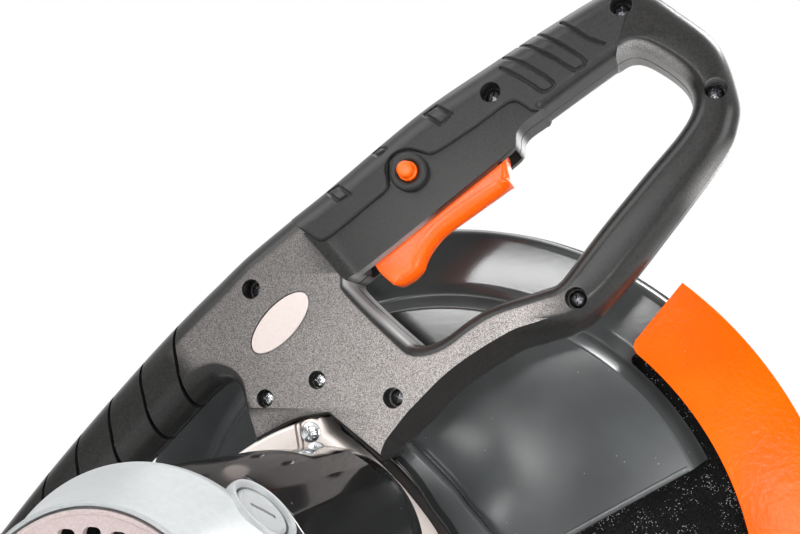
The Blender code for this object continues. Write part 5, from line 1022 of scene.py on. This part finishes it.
def edge_form(near, far):
    """The room under the guard's slanted lower edge, less the disc of radius KEEP that stays."""
    half = math.sqrt(KEEP ** 2 - EDGE_DROP ** 2)
    start = math.degrees(math.atan2(EDGE_DROP, half))
    left, right = EDGE_DOWN * EDGE_DROP - EDGE_ALONG * 300, EDGE_DOWN * EDGE_DROP + EDGE_ALONG * 300
    lobe = arc(SPINDLE, KEEP, 180 + EDGE_SLOPE + start, 360 + EDGE_SLOPE - start, 40)
    return prism([left, *lobe, right, right + EDGE_DOWN * 300, left + EDGE_DOWN * 300], near, far)


def build_fixed_guard():
    """A profile turned round the spindle, cut along its lower edge, with its boss, lips and far cover."""
    outer = [(12.5, PLATEAU_FACE, 0), (PLATEAU_EDGE, PLATEAU_FACE, 1.1), (STEP_FOOT, RIM_FACE - 2, 2.2),
             (STEP_END, RIM_FACE, 2), (RIM, RIM_FACE, 5.5), (RIM, FAR_COVER - 11, 2),
             (COVER_RIM, FAR_COVER - 9, 1.2), (COVER_RIM, FAR_COVER - 0.3, 0)]
    inner = [(191.4, FAR_COVER - 0.3, 0), (191.4, FAR_COVER - 8.3, 0.6), (188, FAR_COVER - 10, 1),
             (188, RIM_FACE + 2, 3.5), (157.8, RIM_FACE + 2, 1), (150.9, RIM_FACE - 0.4, 1.5),
             (143.2, PLATEAU_FACE + 2, 1.5), (12.5, PLATEAU_FACE + 2, 0)]
    guard = make("wheel_guard", [turned([*outer, *inner], 6, steps=256)], "guard_paint", angle=30)
    boss = cushion(smooth_line(BOSS, 2.5, closed=True), [(*BOSS[0], 3, 9)], BOSS_FACE, PLATEAU_FACE + 1.5)
    slot = np.concatenate([arc(SPINDLE, SLOT_OUTER, 15, SLOT_END, 40),
        arc(at_angle(SPINDLE, 156, SLOT_END), 3.6, 58, 218, 12)[1:-1],
        arc(SPINDLE, SLOT_INNER, SLOT_END, 15, 40)])
    carve(guard, [edge_form(-60, 60)], angle=30)
    carve(guard, [boss], operation="UNION", angle=30)
    carve(guard, [prism(slot, -40, -10)], angle=30)
    carve(guard, [hole(SPINDLE, 13, -20, -80)], [hole(MOTOR, 9, -20, -80)], angle=30)
    fitted(guard, "fixed_guard")
    down, away = np.insert(EDGE_DOWN, 1, 0), np.array([0, 1, 0])
    turn = np.radians(np.arange(0, 360, 20))
    ring = np.stack([1.7 * np.cos(turn) - 1.5, 1.5 * np.sin(turn) + 0.7], 1)
    lips = []
    for start, end in ((60.5, 141.5), (-141.5, -60.5)):
        path = np.stack([np.insert(EDGE_ALONG * x, 1, 0) + down * EDGE_DROP + away * PLATEAU_FACE
            for x in np.linspace(start, end, 40)])
        lips.append(skin(path[:, None] + ring[None, :, :1] * down + ring[None, :, 1:] * away))
    piece("guard_folded_edge", lips, "guard_paint", angle=60)

    cover = turned([(30, 33, 0.5), (40, 33, 1), (40, 22.3, 0.4), (184, 22.3, 0.6), (186.5, 21.6, 0.6),
        (192.6, 21.6, 0.6), (192.6, 20.35, 0), (30, 20.35, 0)], steps=200)
    fitted(carve(make("guard_cover", [cover], "guard_paint"), [edge_form(0, 80)], angle=30),
        "guard_side_cover")
    heads = heads_around(bolt_head(8, 2, 0.6), 182, 22.2, (55, 85, 115, 145, 175, 205, 32))
    piece("cover_bolts", heads, "steel", angle=40)
    ring = turned([(30, 33.3, 0), (46, 33.3, 0.3), (46, 36.3, 0.8), (30, 36.3, 0.8)], steps=96)
    piece("retaining_ring", [ring], "steel", "guard_retainer", angle=40)
    heads = heads_around(screw_head(3.4, 2), 38, 36.2, (30, 150, 270))
    piece("retaining_ring_screws", heads, "steel", angle=60)


def build_swing_guard():
    """The orange guard: a profile turned from its bottom edge to its top edge, with its hub."""
    profile = [(SWING_INNER, SWING_FACE, 0.5), (SWING_OUTER, SWING_FACE, 1.6), (SWING_OUTER, SWING_FAR, 3),
        (SWING_BORE, SWING_FAR, 0), (SWING_BORE, SWING_FAR - 2, 0), (SWING_OUTER - 2, SWING_FAR - 2, 1.5),
        (SWING_OUTER - 2, SWING_FACE + 2, 1), (SWING_INNER, SWING_FACE + 2, 0.5)]
    shell = turned(profile, 7, steps=110, start=SWING_START, sweep=SWING_SWEEP)
    guard = make("swing_guard_shell", [shell], "orange_paint", angle=30)
    corner = at_angle(SPINDLE, SWING_INNER, 50.3)
    bite = ((-2, 2), (5, 2), (5, 0), (1.4, -1.4), (0, -5), (-2, -5))
    bite = box_round(corner, corner / SWING_INNER, bite)
    carve(guard, [prism(closed_even(bite), SWING_FACE - 5, SWING_FACE + 5)], angle=30)
    hub = turned([(40.3, 25.5, 0.3), (50, 25.5, 0.3), (50, 33, 0.8), (40.3, 33, 0.5)], 3, steps=96)
    carve(guard, [hub], operation="UNION", angle=30)
    fitted(guard, "swing_guard")


def build_wheel():
    """The wheel: two flat faces with a rounded rim."""
    r, half = WHEEL_RADIUS, WHEEL_HALF
    wheel = turned([(13, -half, 0), (60, -half, 0), (r, -half, 0.4), (r, half, 0.4), (60, half, 0),
        (13, half, 0)], 3, steps=256)
    piece("abrasive_wheel", [wheel], "abrasive", "cutting_wheel", angle=40)


build_fixed_guard()
build_swing_guard()
build_wheel()


# Gear case and motor

VENT_PITCH, VENT_REACH = 9, 41
PAD_START, PAD_END = 10, 65
BRUSH_SEAT = 37
CASE_TOP = [(-94.9, 67.2), (-80, 76.2), (-64.6, 82.6), (-48.6, 86.4)]
CASE_SIDE = [(-45.2, 79.2), (-34.4, 71.4), (-21.9, 60.9), (-9.7, 48.9), (5.8, 29.9)]
CASE_REST = [(16, 10), (15, -13), (0, -28), (-30, -36), (-62, -37), (-90, -20), (-105, 12), (-104, 42)]
RING_TOP = [(-94.9, 66.5), (-80, 75.5), (-64.6, 82), (-48.6, 85.8)]
RING_SIDE = [(-43, 81), (-30, 74), (-16.5, 64.6), (-6, 54.2), (3.2, 41), (12.5, 29.1)]
RING_REST = [(22, 9), (21, -15), (3, -32), (-30, -41), (-64, -42), (-94, -23), (-109, 12), (-107, 42)]


def cornered(top, side, rest):
    """A closed outline of two smooth stretches, with a corner at both ends of the top."""
    return np.concatenate([smooth_line(top, 1.5), smooth_line([*side, *rest, top[0]], 1.5)[:-1]])


def build_gear_case():
    """The cast case with its tab and post, cut for two ribs and the motor, and the black ring."""
    case = cornered(CASE_TOP, CASE_SIDE, CASE_REST)
    ring = cornered(RING_TOP, RING_SIDE, RING_REST)
    body = make("gear_case_body", [cushion(case, [(*case[0], 2.4, 2.4)], CASE_END, RING_END - 0.3)])
    tab = cushion(closed_even(TAB), [(*TAB[0], 0.6, 0.6)], -72.5, -62.5)
    post = turned([(0.001, -84.8, 0), (6.6, -84.8, 0.8), (7.4, -62, 0), (0.001, -62, 0)], 4, POST, 40)
    carve(body, [tab], [post], operation="UNION")
    ribs = [[prism([(x - 0.2, 88), (x + 1.2, 88), (x + 4.6, 70), (x + 3.2, 70)], -90, -80.5)]
            for x in (-63.5, -60.8)]
    carve(body, *ribs, [prism(arc(MOTOR, 40, 0, 350, 70), -90, -72)])
    body.data.materials.clear()
    body.data.materials.append(FINISHES["cast_aluminium"])
    fitted(body, "gear_case")
    plate = cushion(ring, [(*ring[0], 1.6, 1.6)], RING_END, BOSS_FACE - 0.3)
    piece("bearing_ring", [plate], "gloss_black", "ring_plate", slot="gloss_black")


def build_motor():
    """Body with its raised pad, end cap with its rolled shoulder, and vent plate."""
    rear, face = HOUSING_END, VENT_FACE
    body = turned([(50.9, -85.3, 0.8), (51.4, -112, 8), (53.9, -150, 8), (54.6, rear, 0.8), (18, rear, 0),
        (18, rear + 5, 0), (48, rear + 5, 0), (48, -85.3, 0)], 4, MOTOR, 160)
    body = make("motor_body", [body], "gloss_black")
    ridge = [at_angle(MOTOR, 56.5 / math.cos(math.radians(5.6)), f) for f in (54, 43, 32, 20)]
    ridge = [at_angle(MOTOR, 56.8, PAD_END), *ridge, at_angle(MOTOR, 56.5, PAD_START)]
    pad = closed_even([*ridge, *arc(MOTOR, 49.5, PAD_START, PAD_END, 20)])
    marks = [(*pad[0], 1.2, 2), (*at_angle(MOTOR, 56, 40), 2.2, 3), (*at_angle(MOTOR, 49.5, 40), 0.3, 0.3)]
    carve(body, [cushion(pad, marks, -228, -117)], operation="UNION", angle=28)
    fitted(body, "motor_housing")

    cap = [(55, rear + 7.6, 0.5), (57.4, rear + 7, 0.8), (58.3, rear + 2.4, 3), (55.2, rear - 4.2, 3),
           (51.9, rear - 12.2, 3), (49.6, face + 4.5, 2), (48.6, face + 0.5, 0.8), (47.3, face + 0.2, 0.3),
           (47, face + 3, 0), (42, face + 3, 0), (42, face + 6, 0), (47, face + 6, 0), (49, rear - 17, 2),
           (51, rear - 11, 3), (53.5, rear - 5, 2), (53.5, rear - 0.3, 0), (55, rear - 0.3, 0)]
    piece("end_cap", [turned(cap, 5, MOTOR, 160)], "end_cap_grey", "motor_end_cap")
    plate = [(0.001, face + 0.8, 0), (44.6, face + 0.8, 0.4), (45, face, 0.4), (46.4, face, 0.5),
             (46.4, face + 2.7, 0.2), (0.001, face + 2.7, 0)]
    plate = make("vent_grille", [turned(plate, 4, MOTOR, 128)], "vent_plastic")
    slots = []
    for across in np.arange(-4, 5) * VENT_PITCH:
        tall = math.sqrt(VENT_REACH ** 2 - across ** 2)
        for low, high in ((1.7, tall), (-tall, -1.7)):
            left, right = across - 3.2, across + 3.2
            line = np.array([(left, low), (right, low), (right, high), (left, high)])
            slots.append(prism(eased(line + np.array(MOTOR), 5, 2.4), face - 5, face + 10))
    fitted(carve(plate, slots), "vent_plate")


def build_brush_cap(name, degrees):
    """A round cap with a screwdriver slot in a bezel, pointing out from the motor's axis at an angle."""
    out = np.insert(at_angle(SPINDLE, 1, degrees), 1, 0)
    seat = np.array([MOTOR[0], BRUSH_PLANE, MOTOR[1]]) + out * BRUSH_SEAT
    cap = turned([(0.001, 0, 0), (10.4, 0, 0), (10.4, 19.9, 0.8), (9, 20.8, 0.5), (8.7, 20.4, 0.3),
        (0.001, 20.6, 0)])
    bezel = turned([(11, 8, 0), (14.4, 8, 0), (13.9, 20.4, 1.6), (13, 22, 1), (12, 21.6, 0.6),
        (11, 20.2, 0)])
    slot = leaned(eased([(-5.4, -0.8), (5.4, -0.8), (5.4, 0.8), (-5.4, 0.8)], 3, 0.5), -45)
    cap, slot, bezel = ([aligned(part, seat, out, (0, 1, 0))]
        for part in (cap, prism(slot, 18.6, 26), bezel))
    fitted(carve(make(f"brush_screw_{name}", cap, "end_cap_grey"), slot), f"brush_cap_{name}")
    piece(f"brush_bezel_{name}", bezel, "end_cap_grey", slot="pale_plastic")


build_gear_case()
build_motor()
build_brush_cap("upper", 47.4)
build_brush_cap("lower", 227.4)


# Base, arm, fence and vice

BRACKET_TOP = 70.25
JAW_FACE = 25.4
VICE_PITCH, VICE_RADIUS, THREAD_DEPTH = 6, 9, 1.5


def dressed(node, width, finish=None, forms=(), angle=35):
    """A merged copy of a node's mesh with its flat faces made whole and its edges rounded."""
    mesh = NODES[node].data.copy()
    bm = bmesh.new()
    bm.from_mesh(mesh)
    bmesh.ops.remove_doubles(bm, verts=bm.verts, dist=1e-5)
    bmesh.ops.dissolve_limit(bm, angle_limit=math.radians(0.5), verts=bm.verts, edges=bm.edges)
    bm.to_mesh(mesh)
    bm.free()
    mesh.materials.clear()
    mesh.materials.append(FINISHES[finish or NODE_SLOT[node]])
    obj = add_object(f"{node}_finished", mesh)
    if forms:
        carve(obj, *forms, angle=angle, bevel=width)
    else:
        polished(obj, angle, width)
    fitted(obj, node)


def in_machine(x, y, z):
    """World millimetres as millimetres from the wheel's centre."""
    return np.array([x, y, z]) - CENTRE / MM


def build_base():
    """The solids of the base, arm and small parts with rounded edges, and the bracket's bolts."""
    for width, nodes in (
            (1.6, "base_frame"), (0.9, "pivot_bracket"), (0.8, "fence vice_crank"), (0.6, "cord_inlet"),
            (1.2, "foot_rear_near foot_front_near foot_rear_far foot_front_far vice_nut_block"),
            (0.5, "pivot_shaft lock_pin outer_flange wheel_bolt fence_pivot_bolt fence_clamp_bolt"),
            (0.4, "depth_stop_bolt handle_foot_bolt")):
        for node in nodes.split():
            dressed(node, width)
    dressed("torsion_spring", 0, angle=60)
    dressed("head_arm", 1.6, finish="arm_aluminium")
    heads = [aligned(bolt_head(11, 5, 1.4), in_machine(x, y, BRACKET_TOP), (0, 0, -1), (0, 1, 0))
             for x in (-236, -137.5) for y in (24, 56)]
    piece("bracket_bolts", heads, "steel", angle=40, body="base")


def build_vice():
    """Jaw, screw and knob.

    The screw's radius is a trapezium wave of the place along the axis over the pitch, less the turn.
    """
    face = in_machine(JAW_FACE, 0, 0)[0]
    grooves = [[prism([(face - 0.6, z - 1.3), (face + 0.9, z), (face - 0.6, z + 1.3)], -140, -20)]
               for z in np.arange(-270, -226, 5.5)]
    dressed("vice_jaw", 0.5, forms=grooves)
    low, high = (np.array(corner) * 1000 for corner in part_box("vice_screw"))
    middle = (low + high) / 2
    long = np.arange(low[0], high[0] + 0.01, 0.6)
    turn = np.radians(np.arange(0, 360, 9))
    phase = (long[:, None] / VICE_PITCH - turn[None] / (2 * math.pi)) % 1
    plain = np.clip((long - low[0] - 8) / 2, 0, 1) * np.clip((high[0] - 12 - long) / 2, 0, 1)
    radius = VICE_RADIUS - THREAD_DEPTH * plain[:, None] * np.clip((np.abs(phase - 0.5) * -4 + 1.5), 0, 1)
    radius[[0, -1]] -= 0.8
    grid = np.stack([np.broadcast_to(long[:, None], radius.shape), middle[1] + radius * np.cos(turn),
        middle[2] + radius * np.sin(turn)], -1) - CENTRE / MM
    piece("vice_thread", [skin(grid)], "steel", "vice_screw", angle=50)
    low, high = (np.array(corner) * 1000 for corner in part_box("vice_knob"))
    middle, reach = (low + high) / 2, high[0] - low[0]
    knob = turned([(5, 0, 0), (8.4, 0, 0.8), (7.4, -6, 6), (9.4, -reach * 0.55, 10), (8.4, -reach + 4, 4),
        (5.6, -reach, 2), (0.001, -reach, 0), (0.001, -reach + 3.5, 0), (5, -reach + 3.5, 0)], 6, steps=48)
    knob = aligned(knob, in_machine(low[0], middle[1], middle[2]), (-1, 0, 0), (0, 1, 0))
    piece("crank_knob", [knob], "gloss_black", "vice_knob", angle=50)


build_base()
build_vice()
